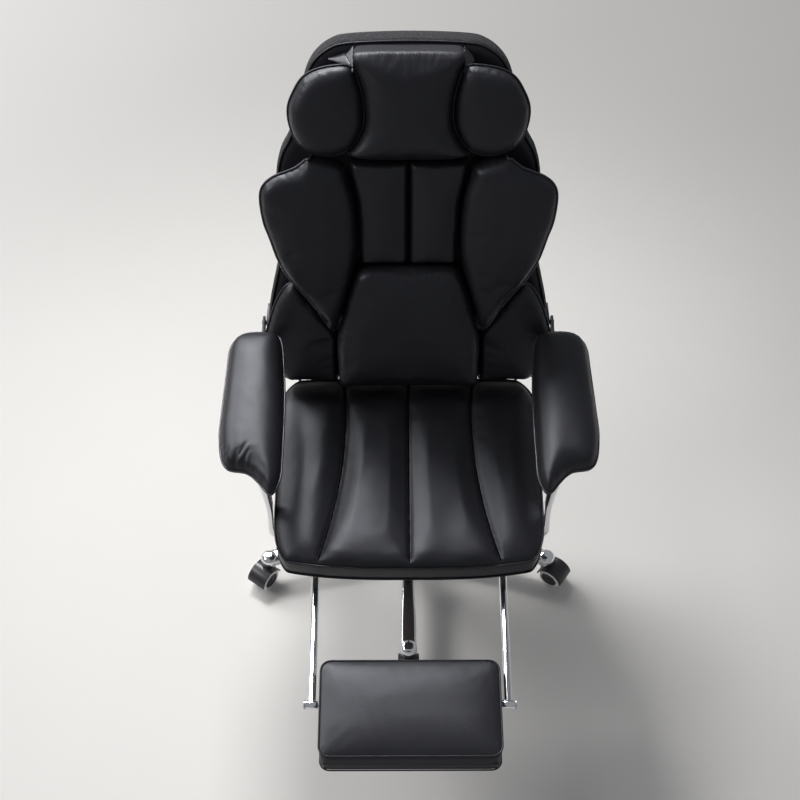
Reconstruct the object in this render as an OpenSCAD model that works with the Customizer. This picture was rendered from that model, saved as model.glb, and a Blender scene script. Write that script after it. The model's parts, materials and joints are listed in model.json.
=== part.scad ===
/* [Star base] */
// Distance from the column to each caster stem
leg_reach = 330; // [300:1:360]
// Width of a leg where it leaves the hub
leg_root_w = 44; // [38:1:50]
// Width of a leg at its waist
leg_waist_w = 28; // [26:1:34]
// Width of a leg beside its caster boss
leg_tip_w = 34; // [30:1:36]
// Thickness of the cast walls of a leg
leg_wall = 4; // [3:0.5:6]
// Height of the top of the hub
hub_top = 116; // [110:1:126]
// Diameter of the hub
hub_d = 68; // [64:1:80]
// Height of the top of a leg beside its caster boss
leg_tip_top = 80; // [76:1:86]

/* [Casters] */
// Diameter of a caster wheel
wheel_d = 52; // [48:1:56]
// Width of one wheel of a pair
wheel_w = 18; // [14:1:20]
// Horizontal distance from the stem to the wheel axle
trail = 23; // [20:1:26]
// Diameter of the stem
stem_d = 11; // [9:0.5:12]
// Length of stem held in the leg
stem_grip = 26; // [20:1:28]
// Thickness of the hood over the wheels
hood_wall = 3; // [2.5:0.5:4]

/* [Column] */
// Diameter of the outer column tube
column_d = 50; // [48:1:54]
// Height of the top of the outer column tube
column_top = 268; // [255:1:280]
// Diameter of the pressure tube
lift_d = 28; // [26:1:32]
// Diameter of the piston rod
rod_d = 10; // [8:0.5:12]
// Travel of the seat height
lift_travel = 90; // [60:5:95]

/* [Mechanism] */
// Width of the mechanism pan
pan_w = 110; // [100:1:120]
// Thickness of the pressed steel
pan_wall = 3; // [2:0.5:4]
// Height of the floor of the pan
pan_floor = 332; // [328:1:336]
// Diameter of the rocking pin
tilt_pin_d = 12; // [10:1:14]
// Distance of the rocking pin in front of the column
tilt_ahead = 50; // [44:1:56]
// Diameter of the tension knob
knob_d = 52; // [44:1:60]

/* [Seat] */
// Height of the underside of the seat board
board_z = 400; // [398:1:410]
// Thickness of the seat board
board_t = 12; // [10:1:15]
// Greatest width of the seat cushion
seat_w = 546; // [530:1:550]
// Distance of the front of the seat ahead of the column
seat_front = 351; // [340:1:352]
// Distance of the rear of the seat behind the column
seat_rear = 114; // [110:1:116]
// Height of the top of the seat above its board
seat_thick = 76; // [72:1:78]
// Depth of the sewn channels across the seat
channel_depth = 15; // [8:1:20]
// Half the distance between the two side seams at their narrowest
seam_half = 128; // [110:1:145]

/* [Footrest] */
// Width of the footrest pad
foot_w = 346; // [320:1:350]
// Length of the footrest pad on the side away from the seat
foot_long = 135; // [120:1:140]
// Length of the footrest pad on the side near the seat
foot_short = 79; // [70:1:84]
// Thickness of the footrest pad
foot_t = 50; // [44:1:54]
// Distance of the footrest axle ahead of the column
foot_ahead = 605; // [590:1:615]
// Diameter of a footrest rod
foot_rod_d = 16; // [14:1:18]
// Distance between the two rods
foot_rod_gap = 380; // [378:1:386]
// Travel of the footrest into the seat
foot_travel = 300; // [280:5:300]

/* [Back] */
// Lean of the back behind upright
back_lean = 22; // [18:1:24]
// Length of the back from the seat to its top edge
back_len = 754; // [740:1:770]
// Width of the back at its lower bulge
back_low_w = 582; // [570:1:584]
// Width of the back behind the wings
back_mid_w = 508; // [490:1:520]
// Width of the back at its top corners
back_top_w = 402; // [380:1:420]
// Thickness of the back pad and its mesh gusset
back_pad_t = 48; // [40:1:52]
// Thickness of the back board
back_board_t = 12; // [10:1:14]
// Thickness of the rear cover
cover_t = 12; // [8:1:14]

/* [Back pads] */
// Width across the two wings
wing_w = 580; // [560:1:590]
// Thickness of a wing at its outer edge
wing_t = 90; // [80:1:96]
// Half the distance between the wings at their narrowest
waist_half = 101; // [96:1:106]
// Thickness of the channelled middle of the back
channel_t = 50; // [44:1:56]
// Thickness of the lumbar pad
lumbar_t = 72; // [60:1:76]
// Width of the lumbar pad at its foot
lumbar_w = 294; // [286:1:296]
// Thickness of the lower side pads
side_pad_t = 36; // [30:1:38]
// Width across the lower side pads
side_pad_w = 594; // [580:1:594]
// Thickness of the head panel
head_t = 76; // [70:1:84]
// Width of a head bolster
bolster_w = 145; // [138:1:146]
// Height of a head bolster
bolster_h = 180; // [176:1:182]
// Thickness of a head bolster
bolster_t = 66; // [60:1:72]

/* [Arms] */
// Height of the top of the arm pads
arm_top = 640; // [632:1:650]
// Thickness of an arm pad
arm_pad_t = 44; // [38:1:46]
// Thickness of the steel plate under an arm pad
arm_plate_t = 6; // [4:1:7]
// Width of the chrome arm bar
arm_bar_w = 28; // [24:1:30]
// Thickness of the chrome arm bar
arm_bar_t = 10; // [8:1:10]
// Diameter of the arm pivots
arm_pin_d = 10; // [8:1:11]

/* [Recline] */
// Height of the recline pivots
recline_z = 378; // [377:1:382]
// Distance of the recline pivots behind the column
recline_y = 130; // [126:1:134]
// Diameter of the recline pivots
recline_pin_d = 12; // [10:1:13]
// Thickness of the steel brackets
bracket_t = 5; // [4:0.5:6]

/* [Fits] */
// Radial clearance of shafts that turn or slide
run_fit = 0.05; // [0.02:0.01:0.1]
// Gap between parts that pass each other
part_gap = 0.3; // [0.3:0.1:0.6]
// Gap between neighbouring pads
seam_gap = 2; // [1.5:0.25:3]

/* [Hidden] */

$fn = 72;
leather = [0.09, 0.09, 0.10];
mesh_cloth = [0.17, 0.17, 0.18];
chrome = [0.82, 0.83, 0.85];
black_steel = [0.13, 0.13, 0.14];
black_plastic = [0.10, 0.10, 0.11];
zinc = [0.62, 0.63, 0.65];
plywood = [0.72, 0.56, 0.38];
pale_tread = [0.72, 0.73, 0.74];

// The first leg points forward; each entry is how far its caster trails from the leg's own line
caster_turn = [0, -17, 60, -35, 35];
leg_angles = [for (i = [0 : 4]) -90 + 72 * i];
wheel_r = wheel_d / 2;
leg_under = 60;
boss_d = leg_tip_w + 4;
boss_top = leg_tip_top + 6;
dome_r = 12;
hub_under = 50;

wheel_inner = 5;
wheel_outer = wheel_inner + wheel_w;
axle_d = 8;
hood_r = wheel_r + 2 + hood_wall;
hood_w = 2 * wheel_outer;
hood_neck_d = 22;
stem_foot = 42;

column_wall = 2.5;
column_foot = 48;
bearing_t = 6;
rod_foot = column_foot;
rod_end = 210;
piston_t = 15;
lift_wall = 3;
lift_foot = 84;
lift_top = 368;
gland_t = 8;
bush_len = 50;
bush_flange = 3;

tilt_y = -tilt_ahead;
tilt_z = 374;
socket_d = 40;
socket_foot = 318;
socket_top = 362;
pan_front = -95;
pan_rear = 105;
pan_lip = 372;
pan_rear_top = 350;
ear_r = 10;
plate_t = 4;
ear_t = 4;
spring_y = -74;
spring_d = 36;
can_d = spring_d + 8;
can_foot = 300;
spring_foot = can_foot + 3;
spring_top = spring_foot + 58;
knob_h = 34;
bolt_d = 10;
lever_y = 30;
lever_z = 346;
lever_x = pan_w / 2 + 12;
lever_lug = 6;
lever_lug_t = 4;
lever_pin_d = 6;
lever_reach = 245;
lever_drop = 28;

foot_z = 374;
foot_y = -foot_ahead;
guide_w = 24;
guide_len = 28;
guide_y = [-276, -180];
sleeve_d = foot_rod_d + 2;
sleeve_in = 178;
sleeve_out = 202;
rod_tail = -157;
foot_axle_d = 10;

// The arm bar leans back with the seat back, so the four arm pivots make a parallelogram
bar_foot = [-235, recline_z];
bar_run = 48;
bar_rise = arm_top - arm_pad_t - arm_plate_t - 15 - recline_z;
bar_head = bar_foot + [bar_run, bar_rise];
bar_lean = atan(bar_run / bar_rise);
bar_len = norm([bar_run, bar_rise]);
rear_pivot = [recline_y + bar_run, recline_z + bar_rise];
bar_foot_x = seat_w / 2 - 10;
bar_head_x = max(back_low_w / 2 + 7, side_pad_w / 2 + 1);
bar_lug_x = bar_foot_x - arm_bar_t / 2 - bracket_t - 3;
strap_x = bar_head_x + 3.3;
web_x = bar_head_x - 5;
hinge_x = seat_w / 2 - 47;
lock_at = [40, recline_z + 8];
lock_pin_d = 8;

// The back's own frame: x across, h up its length and d out of its front
back_foot = [0, 112, board_z + 62];
function to_back(p) = let (v = p - [back_foot[1], back_foot[2]])
    [v[0] * sin(back_lean) + v[1] * cos(back_lean), -v[0] * cos(back_lean) + v[1] * sin(back_lean)];
rear_pivot_hd = to_back(rear_pivot);
recline_hd = to_back([recline_y, recline_z]);
board_rear = -back_pad_t - back_board_t;

// Smooth closed curve through points, with steps per span
function curve_at(a, b, c, d, t) = 0.5 * (2 * b + (c - a) * t
    + (2 * a - 5 * b + 4 * c - d) * t * t + (3 * b - 3 * c + d - a) * t * t * t);
function smooth(p, steps) = let (m = len(p)) [for (i = [0 : m - 1]) for (k = [0 : steps - 1])
    curve_at(p[(i + m - 1) % m], p[i], p[(i + 1) % m], p[(i + 2) % m], k / steps)];

// Outline moved inwards along its own normals; outlines run anticlockwise
function inset(p, by) = let (m = len(p)) [for (i = [0 : m - 1])
    let (t = p[(i + 1) % m] - p[(i + m - 1) % m]) p[i] + by * [-t[1], t[0]] / norm(t)];
// Heights up the back are drawn as shares of its length
function stretched(p) = [for (q = p) [q[0], q[1] * back_len]];
function middle(p) = [for (k = [0, 1]) [for (q = p) q[k]] * [for (q = p) 1] / len(p)];
function toward(p, c, share) = [for (q = p) c + (q - c) * share];
// A right half, from the bottom centre to the top centre, closed by its mirror image
function both_sides(half) = concat(half,
    [for (i = [len(half) - 2 : -1 : 1]) [-half[i][0], half[i][1]]]);

// Closed solid through rings of equal length, with a point at the middle of each end
module rings_solid(rings, low, high) {
    m = len(rings[0]);
    last = len(rings) - 1;
    points = concat([for (r = rings) each r], [low, high]);
    foot = (last + 1) * m;
    faces = concat(
        [for (r = [0 : last - 1]) for (i = [0 : m - 1]) let (j = (i + 1) % m)
            each [[r * m + i, (r + 1) * m + j, r * m + j], [r * m + i, (r + 1) * m + i, (r + 1) * m + j]]],
        [for (i = [0 : m - 1]) [foot, i, (i + 1) % m]],
        [for (i = [0 : m - 1]) [foot + 1, last * m + (i + 1) % m, last * m + i]]
    );
    polyhedron(points, faces);
}

// A stuffed pad on a flat back: its foot is drawn in, its side swells and its face has a crown.
// Rise makes it thicker towards its outer side, by that much for each millimetre from x = 0.
module pad(outline, foot, thick, tuck, roll, crown, rise = 0) {
    centre = middle(outline);
    side = [[tuck, 0], [0, 0.4], [roll * 0.35, 0.82], [roll, 1]];
    dome = [0.78, 0.5, 0.22];
    function height(q, share) = foot + thick * share + rise * share * (abs(q[0]) - abs(centre[0]));
    rings = concat(
        [for (s = side) [for (q = inset(outline, s[0])) [q[0], q[1], height(q, s[1])]]],
        [for (k = dome) [for (q = toward(inset(outline, roll), centre, k))
            [q[0], q[1], height(q, 1) + crown * (1 - k * k)]]]
    );
    rings_solid(rings, [centre[0], centre[1], foot], [centre[0], centre[1], foot + thick + crown]);
}

module on_back() translate(back_foot) rotate([-back_lean, 0, 0]) rotate([90, 0, 0]) children();
module mirrored() {
    children();
    mirror([1, 0, 0]) children();
}
// A shape drawn in (y, z) and made thick along x, from x = from
module plate_x(from, thick) translate([from, 0, 0]) rotate([90, 0, 90]) linear_extrude(thick) children();
module up(from, to) translate([0, 0, from]) linear_extrude(to - from) children();
module rod_x(from, to, d) translate([from, 0, 0]) rotate([0, 90, 0]) cylinder(d = d, h = to - from);
module rod_y(from, to, d) translate([0, from, 0]) rotate([-90, 0, 0]) cylinder(d = d, h = to - from);

// Star base
function leg_top(r) = let (t = (r - hub_d / 2) / (leg_reach - hub_d / 2))
    hub_top - 4 - (hub_top - 4 - leg_tip_top) * (1 - pow(1 - max(0, t), 1.6));
leg_plan = [[hub_d / 2, leg_root_w / 2], [leg_reach * 0.25, leg_waist_w / 2 + 3],
    [leg_reach * 0.45, leg_waist_w / 2], [leg_reach * 0.6, leg_waist_w / 2 + 0.6],
    [leg_reach * 0.78, leg_tip_w / 2], [leg_reach, leg_tip_w / 2]];
// The leg's outer form, or its hollow when less is the wall; its top is rounded across by a flat arch
module leg_form(less, from, to) {
    root = leg_root_w - 2 * less;
    plan = [for (p = smooth_open(leg_plan, 3)) if (p[0] > from && p[0] < to) p - [0, less]];
    arch_w = root + 10;
    arch_z = leg_under + 30 - less;
    under = less > 0 ? leg_under - 1 : leg_under;
    stations = [for (i = [0 : 12]) from + (to - from) * i / 12];
    intersection() {
        rotate([90, 0, 0]) linear_extrude(root, center = true) polygon(concat(
            [for (r = stations) [r, leg_top(r) - less]],
            [[to, less > 0 ? under : leg_under + 4], [from, under]]));
        linear_extrude(hub_top) polygon(concat(
            [[from, -root / 2]], [for (p = plan) [p[0], -p[1]]], [[to, less - leg_tip_w / 2]],
            [[to, leg_tip_w / 2 - less]], [for (i = [len(plan) - 1 : -1 : 0]) plan[i]],
            [[from, root / 2]]));
        rotate([90, 0, 90]) linear_extrude(to) union() {
            translate([0, arch_z]) scale([1, 0.9]) circle(d = arch_w, $fn = 96);
            translate([-arch_w / 2, 0]) square([arch_w, arch_z]);
        }
    }
}
module leg() {
    difference() {
        union() {
            difference() {
                leg_form(0, hub_d / 2 - 6, leg_reach);
                leg_form(leg_wall, hub_d / 2 + 2, leg_reach - boss_d / 2 - 3);
            }
            translate([leg_reach, 0, 0]) rotate_extrude() polygon(concat(
                [[0, leg_under], [boss_d / 2, leg_under], [boss_d / 2, boss_top - dome_r]],
                [for (a = [15 : 15 : 90])
                    [boss_d / 2 - dome_r + dome_r * cos(a), boss_top - dome_r + dome_r * sin(a)]],
                [[0, boss_top]]));
        }
        translate([leg_reach, 0, leg_under - 1]) cylinder(d = stem_d + 2 * run_fit, h = stem_grip + 0.5);
    }
}
module star_base() {
    color(chrome) difference() {
        union() {
            for (a = leg_angles) rotate(a) leg();
            rotate_extrude() polygon([[column_d / 2 + run_fit, hub_under], [hub_d / 2 - 3, hub_under],
                [hub_d / 2, hub_under + 3], [hub_d / 2, hub_top - 10], [hub_d / 2 - 5, hub_top],
                [column_d / 2 + run_fit, hub_top]]);
        }
        translate([0, 0, hub_under - 1]) cylinder(d = column_d + 2 * run_fit, h = hub_top);
    }
}

// Casters, drawn with the stem on the z axis and trailing towards -y
module at_caster(n) {
    a = leg_angles[n - 1];
    rotate(a) translate([leg_reach, 0, 0]) rotate(90 + caster_turn[n - 1]) children();
}
module at_axle() translate([0, -trail, wheel_r]) children();
module caster_hood(n) {
    color(black_plastic) at_caster(n) difference() {
        union() {
            at_axle() rotate([0, 90, 0]) cylinder(r = wheel_r - 1, h = 2 * wheel_inner - 1, center = true);
            at_axle() difference() {
                rotate([0, 90, 0]) cylinder(r = hood_r, h = hood_w, center = true);
                translate([-hood_w, -2 * hood_r, -2 * hood_r])
                    cube([2 * hood_w, 4 * hood_r, 2 * hood_r + 3]);
                rotate([-32, 0, 0]) translate([-hood_w, 0, -2 * hood_r])
                    cube([2 * hood_w, 2 * hood_r, 2 * hood_r]);
            }
            up(wheel_r + 4, leg_under - 2) circle(d = hood_neck_d);
        }
        for (side = [-1, 1]) at_axle() translate([side * (wheel_inner - 0.5 + hood_w / 2), 0, 0])
            rotate([0, 90, 0]) cylinder(r = wheel_r + 2, h = hood_w, center = true);
        at_axle() rotate([0, 90, 0]) cylinder(d = axle_d + 2 * run_fit, h = hood_w, center = true);
        translate([0, 0, stem_foot]) cylinder(d = stem_d + 2 * run_fit, h = leg_under);
    }
}
module caster_pins(n) {
    color(zinc) at_caster(n) {
        translate([0, 0, stem_foot]) cylinder(d = stem_d, h = leg_under + stem_grip - 1 - stem_foot);
        at_axle() rotate([0, 90, 0]) cylinder(d = axle_d, h = 2 * wheel_outer - 6, center = true);
    }
}
module caster_wheel(n, side) {
    hollow = 3;
    color(pale_tread) at_caster(n) at_axle() rotate([0, side * 90, 0]) rotate_extrude() polygon([
        [axle_d / 2 + run_fit, wheel_inner], [wheel_r - 2, wheel_inner], [wheel_r, wheel_inner + 2],
        [wheel_r, wheel_outer - 4], [wheel_r - 3, wheel_outer - 1], [wheel_r - 6, wheel_outer],
        [wheel_r - 7, wheel_outer - hollow], [axle_d / 2 + 4, wheel_outer - hollow],
        [axle_d / 2 + run_fit, wheel_outer - hollow]]);
}

// Gas lift column
module column_tube() {
    color(black_steel) difference() {
        translate([0, 0, column_foot]) cylinder(d = column_d, h = column_top - column_foot);
        translate([0, 0, column_foot + column_wall]) cylinder(d = column_d - 2 * column_wall, h = column_top);
        translate([0, 0, column_foot - 1]) cylinder(d = rod_d + 2 * run_fit, h = column_wall + 2);
    }
}
module column_bush() {
    inner = column_d / 2 - column_wall - run_fit;
    color(black_plastic) rotate_extrude() polygon([[lift_d / 2 + run_fit, column_top - bush_len],
        [inner, column_top - bush_len], [inner, column_top], [column_d / 2, column_top],
        [column_d / 2 - 1, column_top + bush_flange], [lift_d / 2 + run_fit, column_top + bush_flange]]);
}
module column_bearing() {
    color(zinc) translate([0, 0, column_foot + column_wall]) difference() {
        cylinder(d = column_d - 2 * column_wall - 8, h = bearing_t);
        translate([0, 0, -1]) cylinder(d = rod_d + 2 * run_fit, h = bearing_t + 2);
    }
}
module piston_rod() {
    seat = column_foot + column_wall + bearing_t + part_gap;
    color(zinc) union() {
        translate([0, 0, rod_foot]) cylinder(d = rod_d, h = rod_end - rod_foot);
        translate([0, 0, seat]) cylinder(d = rod_d + 6, h = 4);
        translate([0, 0, rod_end - piston_t]) cylinder(r = lift_d / 2 - lift_wall - run_fit, h = piston_t);
    }
}
module pressure_tube() {
    color(zinc) rotate_extrude() polygon([
        [rod_d / 2 + run_fit, lift_foot], [lift_d / 2, lift_foot], [lift_d / 2, lift_top], [4, lift_top],
        [4, lift_top + 4], [0, lift_top + 4], [0, lift_top - 22],
        [lift_d / 2 - lift_wall, lift_top - 22], [lift_d / 2 - lift_wall, lift_foot + gland_t],
        [rod_d / 2 + run_fit, lift_foot + gland_t]]);
}

// Rocking mechanism
// The pan seen from its side, moved inwards by less: down its front edge, along its floor and up its rear
function pan_belly(less, front_top, rear_top) = [
    [pan_front + less, front_top], [pan_front + less, pan_floor + 14],
    [pan_front + 12 + less, pan_floor + less], [pan_rear - 8 - less, pan_floor + less],
    [pan_rear - less, pan_floor + 8], [pan_rear - less, rear_top]];
module mechanism_housing() {
    hollow_top = board_z;
    color(black_steel) difference() {
        union() {
            difference() {
                union() {
                    plate_x(-pan_w / 2, pan_w) polygon(concat(
                        pan_belly(0, pan_lip, pan_rear_top),
                        [[lever_y, pan_rear_top + 8], [tilt_y + ear_r, pan_lip], [tilt_y + ear_r, tilt_z],
                            [tilt_y - ear_r, tilt_z], [tilt_y - ear_r, pan_lip]]));
                    translate([0, tilt_y, tilt_z]) rod_x(-pan_w / 2, pan_w / 2, 2 * ear_r);
                }
                plate_x(-pan_w / 2 + pan_wall, pan_w - 2 * pan_wall)
                    polygon(pan_belly(pan_wall, hollow_top, hollow_top));
            }
            up(socket_foot, socket_top) circle(d = socket_d);
            translate([0, spring_y, 0]) up(can_foot, pan_floor + pan_wall) circle(d = can_d);
            for (y = [lever_y - lever_lug - lever_lug_t, lever_y + lever_lug])
                translate([pan_w / 2 - 1, y, lever_z - 9])
                    cube([lever_x - pan_w / 2 + 10, lever_lug_t, 18]);
        }
        up(socket_foot - 1, socket_top + 16) circle(d = lift_d + 2 * run_fit);
        translate([0, spring_y, 0]) {
            up(spring_foot, hollow_top) circle(d = spring_d + 1);
            up(can_foot - 1, spring_foot + 1) circle(d = bolt_d + 2 * run_fit);
        }
        translate([0, tilt_y, tilt_z]) rod_x(-pan_w, pan_w, tilt_pin_d + 2 * run_fit);
    }
    color(zinc) translate([lever_x, 0, lever_z])
        rod_y(lever_y - lever_lug - lever_lug_t - 0.5, lever_y + lever_lug + lever_lug_t + 0.5, lever_pin_d);
}
module tilt_pin() {
    reach = pan_w / 2 + part_gap + ear_t + 3;
    color(zinc) translate([0, tilt_y, tilt_z]) rod_x(-reach, reach, tilt_pin_d);
}
module tilt_spring() {
    color(zinc) translate([0, spring_y, 0]) up(spring_foot, spring_top) difference() {
        circle(d = spring_d);
        circle(d = bolt_d + 6);
    }
}
module tension_knob() {
    head = can_foot - part_gap;
    color(black_plastic) translate([0, spring_y, 0]) {
        up(head - knob_h, head) difference() {
            circle(d = knob_d);
            for (a = [0 : 30 : 330]) rotate(a) translate([knob_d / 2 + 2, 0]) circle(d = 8);
        }
        up(head - 1, spring_top + 1) circle(d = bolt_d);
    }
}
module height_lever() {
    run = lever_reach - lever_x;
    color(black_plastic) difference() {
        union() {
            translate([lever_x, 0, lever_z])
                rod_y(lever_y - lever_lug + part_gap, lever_y + lever_lug - part_gap, 16);
            translate([lever_x, lever_y, lever_z]) rotate([0, 90 + atan(lever_drop / run), 0])
                cylinder(d = 8, h = norm([run, lever_drop]));
            translate([lever_reach - 34, lever_y, lever_z - lever_drop]) rotate([0, 90, 0])
                linear_extrude(50) polygon([for (a = [0 : 15 : 345]) [5 * cos(a), 15 * sin(a)]]);
        }
        translate([lever_x, 0, lever_z]) rod_y(lever_y - 20, lever_y + 20, lever_pin_d + 2 * run_fit);
    }
}

// Seat
board_lip = 11;
seat_crown = 20;
seat_len = seat_rear + seat_front;
seat_rows = 16;
seat_mid_cols = 6;
seat_side_cols = 6;
function half_width(v) = (seat_w / 2 - 2) * (1 - 0.136 * pow(abs(2 * v - 1), 8));
function seam_x(v) = seam_half + (v < 0.2 ? 10 * pow(1 - v / 0.2, 2) : 53 * pow((v - 0.2) / 0.78, 2));
function seat_x(c, v) = c <= seat_mid_cols ? seam_x(v) * c / seat_mid_cols
    : seam_x(v) + (half_width(v) - seam_x(v)) * (c - seat_mid_cols) / seat_side_cols;
function seat_y(x, v) = let (u = abs(x) / (seat_w / 2))
    seat_rear - (seat_len - 24 * pow(u, 3)) * v - 6 * pow(u, 4) * (1 - v);
function swell(t) = pow(sin(180 * t), 0.6);
function seat_z(c, v) = let (
    edge = board_z + seat_thick - seat_crown - (v < 0.14 ? 10 * (1 - v / 0.14) : 0),
    full = pow(1 - pow(abs(2 * v - 1), 5), 0.8),
    t = c <= seat_mid_cols ? c / seat_mid_cols : (c - seat_mid_cols) / seat_side_cols,
    panel = c <= seat_mid_cols ? seat_crown - channel_depth * (1 - swell(t))
        : (t < 0.5 ? seat_crown - 1 - channel_depth * (1 - swell(t))
            : (seat_crown - 1) * pow(cos(180 * (t - 0.5)), 0.55)))
    edge + panel * full;
seat_cols = seat_mid_cols + seat_side_cols;
function seat_point(c, r) = let (v = r / seat_rows, x = seat_x(abs(c), v))
    [sign(c) * x, seat_y(x, v), seat_z(abs(c), v)];
seat_rim = concat(
    [for (c = [-seat_cols : seat_cols]) [c, seat_rows]],
    [for (r = [seat_rows - 1 : -1 : 0]) [seat_cols, r]],
    [for (c = [seat_cols - 1 : -1 : -seat_cols]) [c, 0]],
    [for (r = [1 : seat_rows - 1]) [-seat_cols, r]]
);
rim_points = [for (p = seat_rim) seat_point(p[0], p[1])];
seat_outline = [for (p = rim_points) [p[0], p[1]]];
module seat_board() {
    color(plywood) translate([0, 0, board_z]) linear_extrude(board_t) polygon(inset(seat_outline, board_lip));
}
module seat_cushion() {
    wide = 2 * seat_cols + 1;
    m = len(seat_rim);
    foot = board_z + board_t;
    side = board_z + seat_thick - seat_crown - foot;
    levels = [[-2, 0.55], [0, 0.2], [5, 0]];
    grid = [for (r = [0 : seat_rows]) for (c = [-seat_cols : seat_cols]) seat_point(c, r)];
    loops = [for (s = levels) for (q = inset(seat_outline, s[0])) [q[0], q[1], foot + side * s[1]]];
    start = len(grid);
    function on_rim(i) = let (p = seat_rim[i % m]) p[1] * wide + p[0] + seat_cols;
    faces = concat(
        [for (r = [0 : seat_rows - 1]) for (c = [0 : wide - 2]) let (a = r * wide + c, b = a + wide)
            each [[a, a + 1, b + 1], [a, b + 1, b]]],
        [for (i = [0 : m - 1]) let (j = (i + 1) % m)
            each [[on_rim(i), on_rim(j), start + j], [on_rim(i), start + j, start + i]]],
        [for (k = [0, 1]) for (i = [0 : m - 1]) let (j = (i + 1) % m, a = start + k * m, b = a + m)
            each [[a + i, a + j, b + j], [a + i, b + j, b + i]]],
        [for (i = [0 : m - 1]) [start + 2 * m + i, start + 2 * m + (i + 1) % m, start + 3 * m]]
    );
    color(leather) polyhedron(concat(grid, loops, [[0, 0, foot]]), faces);
}
module top_plate() {
    front = -112;
    rear = 78;
    half = 96;
    color(black_steel) difference() {
        union() {
            translate([-half, front, board_z - plate_t]) cube([2 * half, rear - front, plate_t]);
            for (x = [-half, half - plate_t])
                translate([x, front, board_z - 12]) cube([plate_t, rear - front, 10]);
            for (side = [-1, 1]) plate_x(side * (pan_w / 2 + part_gap + ear_t / 2) - ear_t / 2, ear_t)
                polygon([
                [tilt_y - 26, board_z - 1], [tilt_y - 9, tilt_z - 9], [tilt_y - 4, tilt_z - 12],
                [tilt_y + 4, tilt_z - 12], [tilt_y + 9, tilt_z - 9], [tilt_y + 26, board_z - 1]]);
        }
        translate([0, tilt_y, tilt_z]) rod_x(-pan_w, pan_w, tilt_pin_d + 2 * run_fit);
    }
}
// A lug that hangs from the seat board round a pivot at (y, z), with half the given width at its top
module lug(y, z, half, r) polygon([[y - half, board_z], [y - r * 0.75, z - r * 0.75], [y, z - r],
    [y + r * 0.75, z - r * 0.75], [y + half, board_z]]);
module seat_brackets() {
    rear = seat_rear - 10;
    foot_w2 = 26;
    color(black_steel) mirrored() difference() {
        union() {
            translate([hinge_x - 22, 0, board_z - plate_t]) cube([23, rear, plate_t]);
            plate_x(hinge_x, bracket_t) polygon([[0, board_z], [rear, board_z],
                [recline_y + 8, recline_z + 13], [recline_y + 15, recline_z],
                [recline_y + 8, recline_z - 13], [recline_y - 10, recline_z - 12],
                [30, board_z - 30], [0, board_z - 12]]);
            translate([bar_lug_x - foot_w2, bar_foot[0] - foot_w2, board_z - plate_t])
                cube([foot_w2 + 1, 2 * foot_w2, plate_t]);
            plate_x(bar_lug_x, bracket_t) lug(bar_foot[0], bar_foot[1], foot_w2, 15);
        }
        translate([0, recline_y, recline_z])
            rod_x(hinge_x - 1, hinge_x + bracket_t + 4, recline_pin_d + 2 * run_fit);
        translate([0, bar_foot[0], bar_foot[1]])
            rod_x(bar_lug_x - 1, bar_lug_x + bracket_t + 4, arm_pin_d + 2 * run_fit);
    }
    color(zinc) translate([0, lock_at[0], lock_at[1]])
        rod_x(hinge_x + bracket_t - 1, hinge_x + bracket_t + 15, lock_pin_d);
}
module seat_pivot_bolts() {
    head = 6.5;
    color(zinc) mirrored() {
        translate([0, recline_y, recline_z]) {
            rod_x(hinge_x - head - 0.5, hinge_x + 2 * bracket_t + 8, recline_pin_d);
            rod_x(hinge_x - head - 0.5, hinge_x - part_gap, recline_pin_d + 7);
        }
        translate([0, bar_foot[0], bar_foot[1]]) {
            rod_x(bar_lug_x - head + 0.5, bar_foot_x + arm_bar_t / 2 + 5, arm_pin_d);
            rod_x(bar_lug_x - head + 0.5, bar_lug_x - part_gap, arm_pin_d + 6);
        }
    }
}
module recline_lever() {
    hub = hinge_x + bracket_t + part_gap;
    y = lock_at[0];
    z = lock_at[1];
    color(black_plastic) difference() {
        union() {
            translate([0, y, z]) rod_x(hub, hub + 12, 20);
            plate_x(hub + 2, 8) polygon([[y + 4, z - 9], [y + 4, z + 6], [y - 10, z + 8],
                [y - 54, z - 8], [y - 54, z - 18], [y - 10, z - 14]]);
            translate([hub, y - 96, z - 22]) cube([28, 48, 12]);
        }
        translate([0, y, z]) rod_x(hub - 1, hub + 20, lock_pin_d + 2 * run_fit);
    }
}

// Footrest
module footrest_guides() {
    color(black_plastic) mirrored() for (y = guide_y) difference() {
        translate([(foot_rod_gap - guide_w) / 2, y - guide_len / 2, foot_z - guide_w / 2 - 1])
            cube([guide_w, guide_len, board_z - foot_z + guide_w / 2 + 1]);
        translate([foot_rod_gap / 2, 0, foot_z])
            rod_y(y - guide_len, y + guide_len, foot_rod_d + 2 * run_fit);
    }
}
module footrest_rods() {
    color(chrome) mirrored() difference() {
        union() {
            translate([foot_rod_gap / 2, 0, foot_z]) rod_y(foot_y, rod_tail, foot_rod_d);
            translate([foot_rod_gap / 2, 0, foot_z]) rod_y(rod_tail - 6, rod_tail, foot_rod_d + 5);
            translate([0, foot_y, foot_z]) rod_x(sleeve_in, sleeve_out, sleeve_d);
        }
        translate([0, foot_y, foot_z]) rod_x(sleeve_in - 20, sleeve_out + 20, foot_axle_d + 2 * run_fit);
    }
}
module footrest_axle() {
    color(zinc) translate([0, foot_y, foot_z]) {
        rod_x(-sleeve_out - 3, sleeve_out + 3, foot_axle_d);
        mirrored() rod_x(sleeve_out + part_gap, sleeve_out + 3.5, sleeve_d);
    }
}
foot_lip = 8;
foot_low = foot_z - 12;
foot_board_t = 18;
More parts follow.
